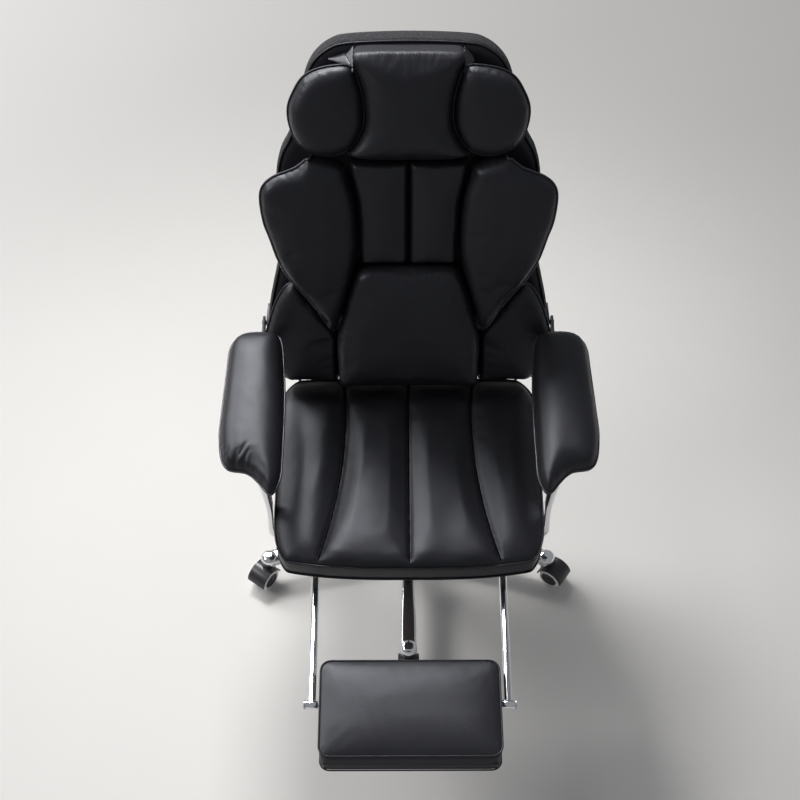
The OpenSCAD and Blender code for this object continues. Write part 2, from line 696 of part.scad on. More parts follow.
module footrest_board() {
    color(plywood) difference() {
        translate([-foot_w / 2 + foot_lip, foot_y - foot_long + foot_lip, foot_low + 1])
            cube([foot_w - 2 * foot_lip, foot_long + foot_short - 2 * foot_lip, foot_board_t]);
        translate([0, foot_y, foot_z]) rod_x(-foot_w, foot_w, foot_axle_d + 2 * run_fit);
    }
}
module footrest_pad() {
    near = foot_y + foot_short;
    far = foot_y - foot_long;
    half = foot_w / 2;
    r = 20;
    corners = [[half - r, near - r], [-half + r, near - r], [-half + r, far + r], [half - r, far + r]];
    outline = [for (k = [0 : 3]) for (a = [0 : 15 : 90])
        corners[k] + r * [cos(90 * k + a), sin(90 * k + a)]];
    color(leather) difference() {
        pad(outline, foot_low, foot_t - 5, 4, 9, 5);
        translate([-half + foot_lip, far + foot_lip, foot_low - 1])
            cube([foot_w - 2 * foot_lip, foot_long + foot_short - 2 * foot_lip, foot_board_t + 2]);
        translate([0, foot_y, foot_z]) rod_x(-foot_w, foot_w, foot_axle_d + 2);
    }
}

// Back
back_half = [[0, 0.0053], [150, 0.0066], [back_low_w * 0.4, 0.0159], [back_low_w * 0.475, 0.0584],
    [back_low_w / 2, 0.1379], [back_low_w / 2 - 1, 0.2228], [back_low_w / 2 - 18, 0.3342],
    [back_mid_w / 2 + 2, 0.4377], [back_mid_w / 2 + 2, 0.5305], [back_mid_w / 2 + 9, 0.6233],
    [back_mid_w / 2 - 1, 0.6897], [back_top_w / 2 + 34, 0.7374], [back_top_w / 2 + 10, 0.8223],
    [back_top_w / 2, 0.8966], [back_top_w / 2 - 18, 0.9469], [back_top_w / 2 - 50, 0.9814],
    [back_top_w / 2 - 90, 0.9947], [0, 1]];
back_outline = smooth(stretched(both_sides(back_half)), 2);
module back_board() {
    color(plywood) on_back() translate([0, 0, board_rear]) linear_extrude(back_board_t)
        polygon(inset(back_outline, 7));
}
module back_pad() {
    sides = [[2, 0], [0, 0.12], [6, 0.55], [11, 0.9], [16, 1]];
    color(mesh_cloth) on_back() rings_solid(
        [for (s = sides) [for (q = inset(back_outline, s[0])) [q[0], q[1], -back_pad_t + back_pad_t * s[1]]]],
        [0, back_len / 2, -back_pad_t], [0, back_len / 2, 0]);
}
cover_half = [[0, 0.0212], [hinge_x - 76, 0.0239], [hinge_x - 21, 0.0345],
    [hinge_x - 4, 0.0796], [hinge_x, 0.1724], [hinge_x, 0.3316],
    [back_mid_w / 2 - 22, 0.4509], [back_mid_w / 2 - 20, 0.6233], [back_top_w / 2 + 6, 0.756],
    [back_top_w / 2 - 12, 0.8886], [back_top_w / 2 - 46, 0.9549], [back_top_w / 2 - 100, 0.9761],
    [0, 0.9814]];
module back_cover() {
    outline = smooth(stretched(both_sides(cover_half)), 2);
    sides = [[0, 0], [0, 0.4], [6, 0.85], [14, 1]];
    color(mesh_cloth) on_back() mirror([0, 0, 1]) translate([0, 0, -board_rear]) rings_solid(
        [for (s = sides) [for (q = inset(outline, s[0])) [q[0], q[1], cover_t * s[1]]]],
        [0, back_len / 2, 0], [0, back_len / 2, cover_t]);
}
module back_brackets() {
    web = hinge_x + bracket_t + 2;
    h = rear_pivot_hd[0];
    d = rear_pivot_hd[1];
    rh = recline_hd[0];
    rd = recline_hd[1];
    rear = board_rear - plate_t;
    color(black_steel) on_back() mirrored() difference() {
        union() {
            translate([web, 14, rear]) cube([44, 82, plate_t]);
            translate([web, 0, 0]) rotate([0, 90, 0]) linear_extrude(bracket_t) polygon([
                [-board_rear, 96], [-board_rear, 10], [-rd - 14, rh + 10], [-rd - 16, rh],
                [-rd - 10, rh - 12], [-rd, rh - 16], [-rd + 10, rh - 12], [-rear + 12, 20],
                [-rear + 12, 86]]);
            translate([web_x - 48, h - 22, rear]) cube([48 + bracket_t, 44, plate_t]);
            translate([web_x, 0, 0]) rotate([0, 90, 0]) linear_extrude(bracket_t) polygon([
                [-rear, h - 22], [-rear, h + 22], [-d - 8, h + 13], [-d - 14, h + 6],
                [-d - 14, h - 6], [-d - 8, h - 13]]);
            translate([web_x, h, d]) rotate([0, 90, 0])
                cylinder(d = arm_pin_d, h = strap_x + bracket_t + 2 - web_x);
        }
        translate([web - 1, rh, rd]) rotate([0, 90, 0])
            cylinder(d = recline_pin_d + 2 * run_fit, h = bracket_t + 15);
    }
}

// Back pads; the seams between neighbours share these values
lumbar_top = 0.398;
wing_foot = 0.199;
chan_head = 0.6963;
bolster_mid = [bolster_w / 2 + 85, 0.8342 * back_len];
gap_x = seam_gap / 2;
gap_h = seam_gap / 2 / back_len;
wing_outline = [[waist_half + gap_x, 0.496], [waist_half + gap_x, 0.4416], [waist_half + 11 + gap_x, 0.3594],
    [waist_half + 28 + gap_x, 0.2772], [lumbar_w / 2 + gap_x + 3, wing_foot],
    [wing_w / 2 - 88 + gap_x, 0.3024], [wing_w / 2 - 52, 0.3674], [wing_w / 2 - 30, 0.4244],
    [wing_w / 2 - 14, 0.496], [wing_w / 2 - 4, 0.5411], [wing_w / 2, 0.6088], [wing_w / 2 - 4, 0.6432],
    [wing_w / 2 - 16, 0.6684], [wing_w / 2 - 50, 0.6976], [wing_w / 2 - 76, 0.7215],
    [wing_w / 2 - 94, 0.7268], [wing_w / 2 - 120, 0.7109], [waist_half + 36, chan_head - 0.0013],
    [waist_half + 24, chan_head - 0.0133], [waist_half + 17 + gap_x, 0.6525],
    [waist_half + 4 + gap_x, 0.5849]];
module wing() pad(smooth(stretched(wing_outline), 2), part_gap, wing_t - 14, 5, 12, 10, 0.14);
module wing_left() color(leather) on_back() mirror([1, 0, 0]) wing();
module wing_right() color(leather) on_back() wing();

side_outline = [[lumbar_w / 2 + gap_x + 8, 0.0172], [side_pad_w / 2 - 68, 0.0115],
    [side_pad_w / 2 - 35, 0.0225], [side_pad_w / 2 - 6, 0.0836], [side_pad_w / 2, 0.1472],
    [side_pad_w / 2 - 5, 0.1923],
    [side_pad_w / 2 - 25, 0.2653], [side_pad_w / 2 - 46, 0.3156], [side_pad_w / 2 - 66, 0.3249],
    [wing_w / 2 - 87, 0.2812], [wing_w / 2 - 114, wing_foot + 0.0318],
    [lumbar_w / 2 + gap_x + 5, wing_foot - 0.0186],
    [lumbar_w / 2 + gap_x + 1, 0.1592], [lumbar_w / 2 + gap_x + 1, 0.0796]];
module side_pads() {
    color(leather) on_back() mirrored() translate([0, 0, part_gap])
        pad(smooth(stretched(side_outline), 2), 0, side_pad_t, 6, 10, 6);
}

channel_outline = [[gap_x + 6, lumbar_top + gap_h], [waist_half / 2, lumbar_top + gap_h],
    [waist_half - 16, lumbar_top + gap_h],
    [waist_half - gap_x - 2, lumbar_top + 0.0239], [waist_half - gap_x, 0.496],
    [waist_half + 4 - gap_x, 0.5849], [waist_half + 14 - gap_x, 0.6525],
    [waist_half + 14, chan_head - 0.0133],
    [waist_half + 4, chan_head - 0.0013],
    [waist_half / 2, chan_head], [gap_x + 7, chan_head], [gap_x, chan_head - 0.0133],
    [gap_x, 0.5968], [gap_x, 0.4907],
    [gap_x, lumbar_top + gap_h + 0.0106]];
module back_channels() {
    color(leather) on_back() mirrored() translate([0, 0, part_gap])
        pad(smooth(stretched(channel_outline), 2), 0, channel_t, 3, 14, 8);
}

lumbar_half = [[0, 0.0186], [lumbar_w / 2 - 40, 0.0199], [lumbar_w / 2 - 8, 0.0398],
    [lumbar_w / 2 - gap_x, 0.0928],
    [lumbar_w / 2 - gap_x, 0.1724], [waist_half + 28 - gap_x, 0.2772], [waist_half + 11 - gap_x, 0.3475],
    [waist_half - 8, lumbar_top - 0.0212], [waist_half - 20, lumbar_top - 0.0066],
    [waist_half - 42, lumbar_top - gap_h - 0.0013], [0, lumbar_top - gap_h - 0.0013]];
module lumbar_pad() color(leather) on_back() translate([0, 0, part_gap])
    pad(smooth(stretched(both_sides(lumbar_half)), 2), 0, lumbar_t, 10, 22, 9);

// Bolster outline from its middle, as shares of half its width and half its height
bolster_form = [[-0.59, -0.83], [-0.2, -0.98], [0.24, -0.98], [0.63, -0.81], [0.87, -0.54], [1, -0.2],
    [1, 0.13], [0.85, 0.46], [0.6, 0.77], [0.23, 0.93], [-0.28, 1], [-0.59, 0.97], [-0.81, 0.79],
    [-0.92, 0.48], [-0.99, 0.12], [-0.98, -0.26], [-0.82, -0.58]];
bolster_outline = [for (q = bolster_form) bolster_mid + [q[0] * bolster_w / 2, q[1] * bolster_h / 2]];
head_foot = 0.7069;
head_top = 0.9947;
// The head panel's waist follows the bolsters' inner sides
head_half = concat([[0, head_foot], [80, head_foot + 0.0013], [118, head_foot + 0.0133]],
    [for (i = [0, 16, 15, 14, 13, 12])
        [bolster_outline[i][0] - 1.4 * seam_gap, bolster_outline[i][1] / back_len]],
    [[101, head_top - 0.0265], [96, head_top - 0.0053], [60, head_top], [0, head_top]]);
module head_panel() color(leather) on_back() translate([0, 0, part_gap])
    pad(smooth(stretched(both_sides(head_half)), 2), 0, head_t, 6, 16, 9);
module bolster() pad(smooth(bolster_outline, 2), part_gap, bolster_t, 14, 16, 14);
module bolster_left() color(leather) on_back() mirror([1, 0, 0]) bolster();
module bolster_right() color(leather) on_back() bolster();

// Arms, drawn for the right side
arm_outline = [for (p = [
    [-15, 110], [-35, 98], [-43, 29], [-48, -72], [-48, -190], [-46, -236], [-36, -266],
    [-23, -269], [-5, -246], [20, -222], [63, -208], [77, -144], [76, -71], [70, 29], [62, 86],
    [39, 109]]) p + [bar_head_x, 0]];
arm_pad_low = arm_top - arm_pad_t;
arm_lip = 7;
arm_ring = smooth(arm_outline, 2);
module arm_pad() pad(arm_ring, arm_pad_low, arm_pad_t - 6, 6, 15, 6);
module arm_pad_left() color(leather) mirror([1, 0, 0]) arm_pad();
module arm_pad_right() color(leather) arm_pad();
module arm_plate() {
    low = arm_pad_low - arm_plate_t;
    ear = bar_head_x - arm_bar_t / 2 - 2 - bracket_t;
    color(black_steel) difference() {
        union() {
            translate([0, 0, low]) linear_extrude(arm_plate_t) polygon(inset(arm_ring, arm_lip));
            plate_x(ear, bracket_t) polygon([[bar_head[0] - 24, low + 1],
                [bar_head[0] - 9, bar_head[1] - 10], [bar_head[0], bar_head[1] - 14],
                [bar_head[0] + 9, bar_head[1] - 10], [bar_head[0] + 24, low + 1]]);
            translate([0, bar_head[0], bar_head[1]]) rod_x(ear, bar_head_x + arm_bar_t / 2 + 5, arm_pin_d);
            plate_x(strap_x, bracket_t) polygon([[10, low + 3], [30, low - 12],
                [rear_pivot[0], rear_pivot[1] - 14], [rear_pivot[0] + 10, rear_pivot[1] - 10],
                [rear_pivot[0] + 14, rear_pivot[1]], [rear_pivot[0] + 10, rear_pivot[1] + 10],
                [rear_pivot[0], rear_pivot[1] + 14], [80, low + 3]]);
        }
        translate([0, rear_pivot[0], rear_pivot[1]]) rod_x(strap_x - 1, strap_x + 10, arm_pin_d + 1.2);
    }
}
module arm_plate_left() mirror([1, 0, 0]) arm_plate();
module arm_plate_right() arm_plate();
// The bar's middle line seen from the front: how far out it lies along its length
bar_path = smooth_open([[bar_foot_x, -14], [bar_foot_x, 0], [bar_foot_x + 1.5, 12], [bar_foot_x + 8, 22],
    [bar_foot_x + 17, 33], [bar_foot_x + 17.5, 60], [bar_foot_x + 19, 100], [bar_head_x - 8, 145],
    [bar_head_x - 1.5, bar_len - 28], [bar_head_x, bar_len], [bar_head_x, bar_len + 12]], 4);
function smooth_open(p, steps) = let (m = len(p)) concat([for (i = [0 : m - 2]) for (k = [0 : steps - 1])
    curve_at(p[max(i - 1, 0)], p[i], p[i + 1], p[min(i + 2, m - 1)], k / steps)], [p[m - 1]]);
function band(p, t) = let (m = len(p), side = [for (i = [0 : m - 1])
    let (v = p[min(i + 1, m - 1)] - p[max(i - 1, 0)]) t / 2 * [v[1], -v[0]] / norm(v)])
    concat([for (i = [0 : m - 1]) p[i] + side[i]], [for (i = [m - 1 : -1 : 0]) p[i] - side[i]]);
module arm_bar() {
    color(chrome) translate([0, bar_foot[0], bar_foot[1]]) rotate([-bar_lean, 0, 0]) difference() {
        intersection() {
            rotate([90, 0, 0]) linear_extrude(arm_bar_w, center = true) polygon(band(bar_path, arm_bar_t));
            plate_x(0, 400) {
                circle(d = arm_bar_w);
                translate([-arm_bar_w / 2, 0]) square([arm_bar_w, bar_len]);
                translate([0, bar_len]) circle(d = arm_bar_w - 2);
            }
        }
        rod_x(bar_foot_x - 20, bar_foot_x + 20, arm_pin_d + 2 * run_fit);
        translate([0, 0, bar_len]) rod_x(bar_head_x - 20, bar_head_x + 20, arm_pin_d + 2 * run_fit);
    }
}
module arm_bar_left() mirror([1, 0, 0]) arm_bar();
module arm_bar_right() arm_bar();

star_base();
column_tube();
column_bush();
column_bearing();
piston_rod();
pressure_tube();
mechanism_housing();
tilt_pin();
tilt_spring();
tension_knob();
height_lever();
top_plate();
seat_board();
seat_cushion();
seat_brackets();
seat_pivot_bolts();
recline_lever();
footrest_guides();
footrest_rods();
footrest_axle();
footrest_board();
footrest_pad();
back_board();
back_cover();
back_pad();
back_brackets();
wing_left();
wing_right();
side_pads();
back_channels();
lumbar_pad();
head_panel();
bolster_left();
bolster_right();
arm_bar_left();
arm_bar_right();
arm_plate_left();
arm_plate_right();
arm_pad_left();
arm_pad_right();
for (n = [1 : 5]) {
    caster_hood(n);
    caster_pins(n);
    caster_wheel(n, -1);
    caster_wheel(n, 1);
}
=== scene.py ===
"""Cushions, covers, trim, finishes and a plain studio for an office chair with a footrest that slides out."""

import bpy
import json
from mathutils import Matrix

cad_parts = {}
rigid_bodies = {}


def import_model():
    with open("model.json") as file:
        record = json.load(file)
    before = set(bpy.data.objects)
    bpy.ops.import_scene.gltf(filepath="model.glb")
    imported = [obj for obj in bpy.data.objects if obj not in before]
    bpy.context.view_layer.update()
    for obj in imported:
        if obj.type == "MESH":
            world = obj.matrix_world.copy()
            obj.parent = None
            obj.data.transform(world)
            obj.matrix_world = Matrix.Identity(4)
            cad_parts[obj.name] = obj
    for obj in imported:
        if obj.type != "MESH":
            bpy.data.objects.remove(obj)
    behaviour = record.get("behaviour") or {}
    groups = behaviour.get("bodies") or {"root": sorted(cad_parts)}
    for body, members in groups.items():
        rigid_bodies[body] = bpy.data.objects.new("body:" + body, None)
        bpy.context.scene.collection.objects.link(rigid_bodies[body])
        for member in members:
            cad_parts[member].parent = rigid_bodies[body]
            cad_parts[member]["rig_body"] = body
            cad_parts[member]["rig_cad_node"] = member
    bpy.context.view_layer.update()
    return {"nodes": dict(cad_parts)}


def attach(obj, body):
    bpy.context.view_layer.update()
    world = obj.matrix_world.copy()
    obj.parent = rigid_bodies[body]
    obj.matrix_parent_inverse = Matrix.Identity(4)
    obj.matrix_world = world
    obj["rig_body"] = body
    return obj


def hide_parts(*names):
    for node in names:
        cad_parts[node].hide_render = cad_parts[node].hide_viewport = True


bl_info = {
    "name": "Office chair with footrest",
    "version": (1, 0, 0),
    "blender": (4, 5, 0),
    "location": "3D View > Sidebar > Chair",
    "description": "Builds the cushions, covers and finishes of an office chair round its packed frame",
    "category": "Add Mesh",
}

import json
import math

import bmesh
import bpy
import numpy as np
from bpy.props import FloatProperty, FloatVectorProperty, PointerProperty
from bpy.types import Operator, Panel, PropertyGroup
from mathutils import Vector
from mathutils.bvhtree import BVHTree
from mathutils.geometry import delaunay_2d_cdt

for left_over in list(bpy.data.objects):
    bpy.data.objects.remove(left_over)
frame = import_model()
MM = 0.001

# Places


class Place:
    """A flat working frame: u and v lie in its plane and w stands out of it, all in millimetres."""

    def __init__(self, foot, lean):
        c, s = math.cos(lean), math.sin(lean)
        self.foot = np.array(foot, float)
        self.axes = np.array([(1, 0, 0), (0, s, c), (0, -c, s)], float)

    def world(self, uvw):
        """Metres in the frame, from millimetres here."""
        return self.foot * MM + (np.asarray(uvw, float) * MM) @ self.axes

    def local(self, points):
        """Millimetres here, from metres in the frame."""
        return ((np.asarray(points, float) - self.foot * MM) @ self.axes.T) / MM


BACK_FOOT = (0, 112, 462)
BACK_LEAN = math.radians(22)
BACK = Place(BACK_FOOT, BACK_LEAN)
LEVEL = Place((0, 0, 0), math.radians(90))
# The back board's plane seen from behind
REAR = Place(BACK_FOOT, BACK_LEAN)
REAR.axes = REAR.axes * np.array([[-1], [1], [-1]])

# Outlines, in millimetres

WING_OUTER = [(151, 150), (203, 228), (238, 277), (260, 320), (276, 374), (286, 408), (291, 459), (284, 486),
              (265, 503), (241, 512), (222, 519), (209, 528), (198, 537)]
WING_INNER = [(188, 541), (170, 537), (137, 525), (125, 515), (119, 492), (106, 441), (102, 374), (102, 333),
              (113, 271), (130, 209)]
SIDE = [(154, 13), (229, 12), (262, 18), (291, 63), (299, 111), (292, 145), (274, 200), (252, 238),
        (231, 245), (203, 212), (176, 174), (152, 136), (148.5, 120), (148.5, 60), (148.5, 20)]
CHANNEL = [(7, 301), (50, 301), (90, 301), (99, 318), (100, 374), (104, 441), (114, 492), (115, 515),
           (105, 524), (50, 525), (8, 525), (1, 515), (1, 450), (1, 370), (1, 309)]
LUMBAR = [(0, 18), (130, 18), (143, 23), (146, 40), (146.5, 70), (146.5, 130), (129, 209), (112, 264),
          (103, 284), (92, 295), (70, 298), (0, 298)]
HEAD = [(0, 533), (80, 534), (118, 543), (112, 554), (95, 577), (84, 606), (83, 640), (87, 672), (93, 698),
        (100, 718), (105, 736), (104, 744), (97, 748), (60, 750), (0, 750)]
BOLSTER = [(115, 554), (143, 541), (175, 541), (203, 556), (221, 580), (230, 611), (230, 641), (219, 670),
           (201, 698), (174, 714), (138, 721), (116, 721), (103, 711), (96, 692), (90, 668), (86, 640),
           (87, 606), (98, 577)]
BACK_PAD = [(0, 4), (150, 5), (233, 12), (276, 44), (291, 104), (290, 168), (273, 252), (256, 330),
            (256, 400), (263, 470), (253, 520), (235, 556), (211, 620), (201, 676), (183, 714),
            (151, 740), (111, 750), (0, 754)]
COVER = [(0, 16), (150, 18), (205, 26), (222, 60), (226, 130), (226, 250), (232, 340), (234, 470),
         (207, 570), (189, 670), (155, 720), (101, 736), (0, 740)]
ARM = [(290, 119), (265, 106), (255, 29), (250, -72), (250, -190), (252, -236), (262, -266), (275, -269),
       (293, -246), (318, -222), (361, -208), (375, -144), (374, -71), (370, 29), (367, 82), (353, 109),
       (328, 119)]

# Curves and fields


def catmull(a, b, c, d, t):
    """A smooth curve from b to c, with a and d as the points beside them."""
    return 0.5 * (2 * b + (c - a) * t + (2 * a - 5 * b + 4 * c - d) * t**2 + (3 * b - 3 * c + d - a) * t**3)


def even(line, step, closed):
    """The same line cut into even lengths of about step."""
    line = np.vstack([line, line[:1]]) if closed else np.asarray(line, float)
    along = np.concatenate([[0], np.cumsum(np.linalg.norm(np.diff(line, axis=0), axis=1))])
    count = max(3, round(along[-1] / step))
    marks = np.linspace(0, along[-1], count if closed else count + 1, endpoint=not closed)
    return np.stack([np.interp(marks, along, line[:, k]) for k in range(line.shape[1])], axis=1)


def smooth(points, step, closed=True):
    """A smooth line through the points, cut into even lengths."""
    p = np.asarray(points, float)
    t = np.linspace(0, 1, 12, endpoint=False)[:, None]
    m = len(p)
    if closed:
        spans = [catmull(p[i - 1], p[i], p[(i + 1) % m], p[(i + 2) % m], t) for i in range(m)]
    else:
        spans = [catmull(p[max(i - 1, 0)], p[i], p[i + 1], p[min(i + 2, m - 1)], t) for i in range(m - 1)]
        spans.append(p[-1:])
    return even(np.vstack(spans), step, closed)


def both_sides(half):
    """A right half from the bottom centre to the top centre, closed by its mirror image."""
    return list(half) + [(-x, y) for x, y in half[-2:0:-1]]


def mirrored(outline):
    """The outline on the other side, still anticlockwise."""
    return [(-x, y) for x, y in outline[::-1]]


def inset(line, by):
    """The closed line moved inwards; it runs anticlockwise."""
    t = np.roll(line, -1, 0) - np.roll(line, 1, 0)
    t /= np.linalg.norm(t, axis=1)[:, None]
    return line + by * np.stack([-t[:, 1], t[:, 0]], axis=1)


def nearest(points, line, closed):
    """Each point's distance to a line, and how far along the line its nearest place lies."""
    line = np.asarray(line, float)
    best = np.full(len(points), np.inf)
    along = np.zeros(len(points))
    ends = np.roll(line, -1, 0) if closed else line[1:]
    travelled = 0.0
    for a, b in zip(line, ends):
        ab = b - a
        span = math.hypot(*ab) + 1e-9
        rel = points - a
        t = np.clip(rel @ ab / span**2, 0, 1)
        gap = np.hypot(rel[:, 0] - t * ab[0], rel[:, 1] - t * ab[1])
        closer = gap < best
        best[closer] = gap[closer]
        along[closer] = travelled + t[closer] * span
        travelled += span
    return best, along


def inside(points, line):
    """Which points lie inside a closed line."""
    a, b = line, np.roll(line, -1, 0)
    x, y = points[:, :1], points[:, 1:2]
    spans = (a[:, 1] > y) != (b[:, 1] > y)
    rise = np.where(b[:, 1] == a[:, 1], 1e-9, b[:, 1] - a[:, 1])
    cut = a[:, 0] + (y - a[:, 1]) * (b[:, 0] - a[:, 0]) / rise
    return (spans & (x < cut)).sum(1) % 2 == 1


def waves(points, length, seed):
    """A smooth random field from -1 to 1 whose waves are about as long as length."""
    rng = np.random.default_rng(abs(int(seed)) + 1)
    total = np.zeros(len(points))
    count = 7
    for _ in range(count):
        way = rng.normal(size=points.shape[1])
        way *= 2 * math.pi / (length * rng.uniform(0.75, 1.5) * np.linalg.norm(way))
        total += np.sin(points @ way + rng.uniform(0, 6.3))
    return total / (count / 2)


def rolled(distance, radius, power=2.2):
    """0 at a seam, rising like a stuffed edge to 1 at the radius."""
    t = np.clip(distance / radius, 0, 1)
    return (1 - (1 - t) ** power) ** (1 / power)


# Stuffed pieces

CLOTH_FRAMES = 20
NO_SEAM = 1e3
RIM_CREASE = 0.8
# Waves of a stuffed face and the height of the short ones, in millimetres
LONG_WAVE = 95
SHORT_WAVE = 34
RIPPLE = 0.1


def fill(outline, seams, step):
    """Even triangles inside an outline, with corners along its seams.
    It gives the points, the triangles and the outline's own row of points."""
    lo, hi = outline.min(0), outline.max(0)
    lattice = []
    for k, y in enumerate(np.arange(lo[1], hi[1], step * math.sqrt(0.75))):
        x = np.arange(lo[0] + k % 2 * step / 2, hi[0], step)
        lattice.append(np.column_stack([x, np.full(len(x), y)]))
    lattice = np.vstack(lattice)
    clear = step * 0.6
    keep = inside(lattice, outline) & (nearest(lattice, outline, True)[0] > clear)
    for seam in seams:
        keep &= nearest(lattice, seam, False)[0] > clear
    points = np.vstack([outline, *seams, lattice[keep]])
    edges, start = [], len(outline)
    for seam in seams:
        edges += [(start + i, start + i + 1) for i in range(len(seam) - 1)]
        start += len(seam)
    found = delaunay_2d_cdt([Vector(p) for p in points], edges, [list(range(len(outline)))], 1, 1e-6)
    corners = np.array([tuple(v) for v in found[0]])
    home = {old: new for new, olds in enumerate(found[3]) for old in olds}
    return corners, [tuple(f) for f in found[2]], [home[i] for i in range(len(outline))]


def new_object(name, points, faces, material=None):
    """A smooth-shaded object from points in metres and faces."""
    mesh = bpy.data.meshes.new(name)
    mesh.from_pydata([tuple(p) for p in points], [], [tuple(int(i) for i in f) for f in faces])
    mesh.validate()
    mesh.polygons.foreach_set("use_smooth", [True] * len(mesh.polygons))
    mesh.update()
    made = bpy.data.objects.new(name, mesh)
    bpy.context.scene.collection.objects.link(made)
    if material:
        mesh.materials.append(material)
    return made


def settled(obj):
    """Turns the object with its modifiers into a plain mesh."""
    mesh = bpy.data.meshes.new_from_object(obj.evaluated_get(bpy.context.evaluated_depsgraph_get()))
    mesh.name = obj.data.name
    obj.modifiers.clear()
    obj.data = mesh
    return obj


def corner_array(obj):
    """The mesh's points as an array, in metres."""
    co = np.empty(len(obj.data.vertices) * 3, np.float32)
    obj.data.vertices.foreach_get("co", co)
    return co.reshape(-1, 3).astype(float)


def set_corners(obj, co):
    """Puts the mesh's points where the array says."""
    obj.data.vertices.foreach_set("co", np.asarray(co, np.float32).ravel())
    obj.data.update()


def edge_ends(obj):
    """The two points of each edge."""
    ends = np.empty(len(obj.data.edges) * 2, np.int32)
    obj.data.edges.foreach_get("vertices", ends)
    return ends.reshape(-1, 2)


def swell(obj, pinned, pressure, growth, cap, calm):
    """Blows the piece up as cloth with its seams held. No point moves further than cap millimetres, and
    each move is evened out with its neighbours' moves as many times as calm says."""
    group = obj.vertex_groups.new(name="seams")
    group.add([int(i) for i in np.flatnonzero(pinned)], 1, "REPLACE")
    start = corner_array(obj)
    cloth = obj.modifiers.new("stuffing", "CLOTH").settings
    cloth.vertex_group_mass = "seams"
    cloth.quality = 4
    cloth.mass = 0.2
    cloth.tension_stiffness = cloth.compression_stiffness = 25
    cloth.shear_stiffness = 12
    cloth.bending_stiffness = 0.6
    cloth.use_pressure = True
    cloth.uniform_pressure_force = pressure
    cloth.shrink_min = -growth
    cloth.effector_weights.gravity = 0
    scene = bpy.context.scene
    for number in range(1, CLOTH_FRAMES + 1):
        scene.frame_set(number)
    settled(obj)
    scene.frame_set(1)
    moved = corner_array(obj) - start
    ends = np.vstack([edge_ends(obj), edge_ends(obj)[:, ::-1]])
    count = np.bincount(ends[:, 0], minlength=len(moved))[:, None]
    for _ in range(calm):
        total = np.zeros_like(moved)
        np.add.at(total, ends[:, 0], moved[ends[:, 1]])
        moved = np.where(pinned[:, None], moved, (moved + total / count) / 2)
    size = np.linalg.norm(moved, axis=1)[:, None] + 1e-12
    set_corners(obj, start + moved * np.minimum(1, cap * MM / size))


def eased(corners, gap, rim, blend=8):
    """The distance from the rim without the ridges that it has where two sides are equally near: a sum of
    1 / distance^6 along the rim, scaled to be exact beside a straight side. Over the first blend
    millimetres it takes over from the plain distance."""
    away = sum((corners[:, None, k] - rim[None, :, k]) ** 2 for k in (0, 1))
    step = np.linalg.norm(rim - np.roll(rim, 1, 0), axis=1).mean()
    even_gap = ((1 / np.maximum(away, 1) ** 3).sum(1) * step * 8 / (3 * math.pi)) ** -0.2
    return gap + (even_gap - gap) * np.clip(gap / blend, 0, 1)


def stuff(name, place, outline, wall, top, material, seams=(), step=6.0, sim=None, detail=None, lean=None,
          lumps=0.8):
    """A closed stuffed piece. Wall lists (inset, height) from the foot up, top gives the face's height, sim
    is what swell needs, detail adds folds, lumps is the height of its long waves, and
    lean (rate, height, start, length) draws the wall's upper end in below its edge."""
    rim = smooth(outline, step)
    sewn = [smooth(seam, step, False) for seam in seams]
    corners, faces, row = fill(rim, sewn, step)
    gap = nearest(corners, rim, True)[0]
    seam_gap = np.min([nearest(corners, seam, False)[0] for seam in sewn] or [gap * 0 + NO_SEAM], axis=0)
    heights = top(corners, eased(corners, gap, smooth(outline, 3.0)), seam_gap)
    points = [np.column_stack([corners, heights])]
    faces, total, above = list(faces), len(corners), row
    for by, level in wall[::-1]:
        ring = inset(rim, by)
        if lean:
            rate, height, start, length = lean
            ring[:, 1] -= rate * (height - level) * np.clip((rim[:, 1] - start) / length, 0, 1) ** 2
        points.append(np.column_stack([ring, np.full(len(rim), float(level))]))
        below = list(range(total, total + len(rim)))
        faces += [(above[i], below[i], below[(i + 1) % len(rim)], above[(i + 1) % len(rim)])
                  for i in range(len(rim))]
        total, above = total + len(rim), below
    made = new_object(name, place.world(np.vstack(points)), faces, material)
    held = np.ones(total, bool)
    held[:len(corners)] = np.minimum(gap, seam_gap) < 0.5
    if sim:
        swell(made, held, *sim)
    crease = made.data.attributes.new("crease_edge", "FLOAT", "EDGE")
    on_rim = set(row) | set(above)
    sharp = [RIM_CREASE * (a in on_rim and b in on_rim) for a, b in edge_ends(made)]
    crease.data.foreach_set("value", sharp)
    finer = made.modifiers.new("finer", "SUBSURF")
    finer.levels = finer.render_levels = 1
    outward(settled(made), close=True)
    uvw = place.local(corner_array(made))
    flat = uvw[:, :2]
    gap, along = nearest(flat, rim, True)
    seed = sum(map(ord, name))
    above_wall = (uvw[:, 2] > wall[-1][1] + 1) & inside(flat, rim)
    lift = lumps * waves(flat, LONG_WAVE, seed) + RIPPLE * waves(flat, SHORT_WAVE, seed + 5)
    if detail:
        lift = lift * np.clip((gap - 1) / 14, 0, 1) + detail(uvw, gap, along)
    uvw[:, 2] += lift * above_wall * np.clip(gap / 2, 0, 1)
    set_corners(made, place.world(uvw))
    return made


def outward(obj, close=False):
    """Turns the faces outwards, after it has closed an open foot where that is asked for."""
    shape = bmesh.new()
    shape.from_mesh(obj.data)
    if close:
        foot = bmesh.ops.holes_fill(shape, edges=[e for e in shape.edges if e.is_boundary])["faces"]
        bmesh.ops.triangulate(shape, faces=foot)
    bmesh.ops.recalc_face_normals(shape, faces=shape.faces)
    shape.to_mesh(obj.data)
    shape.free()


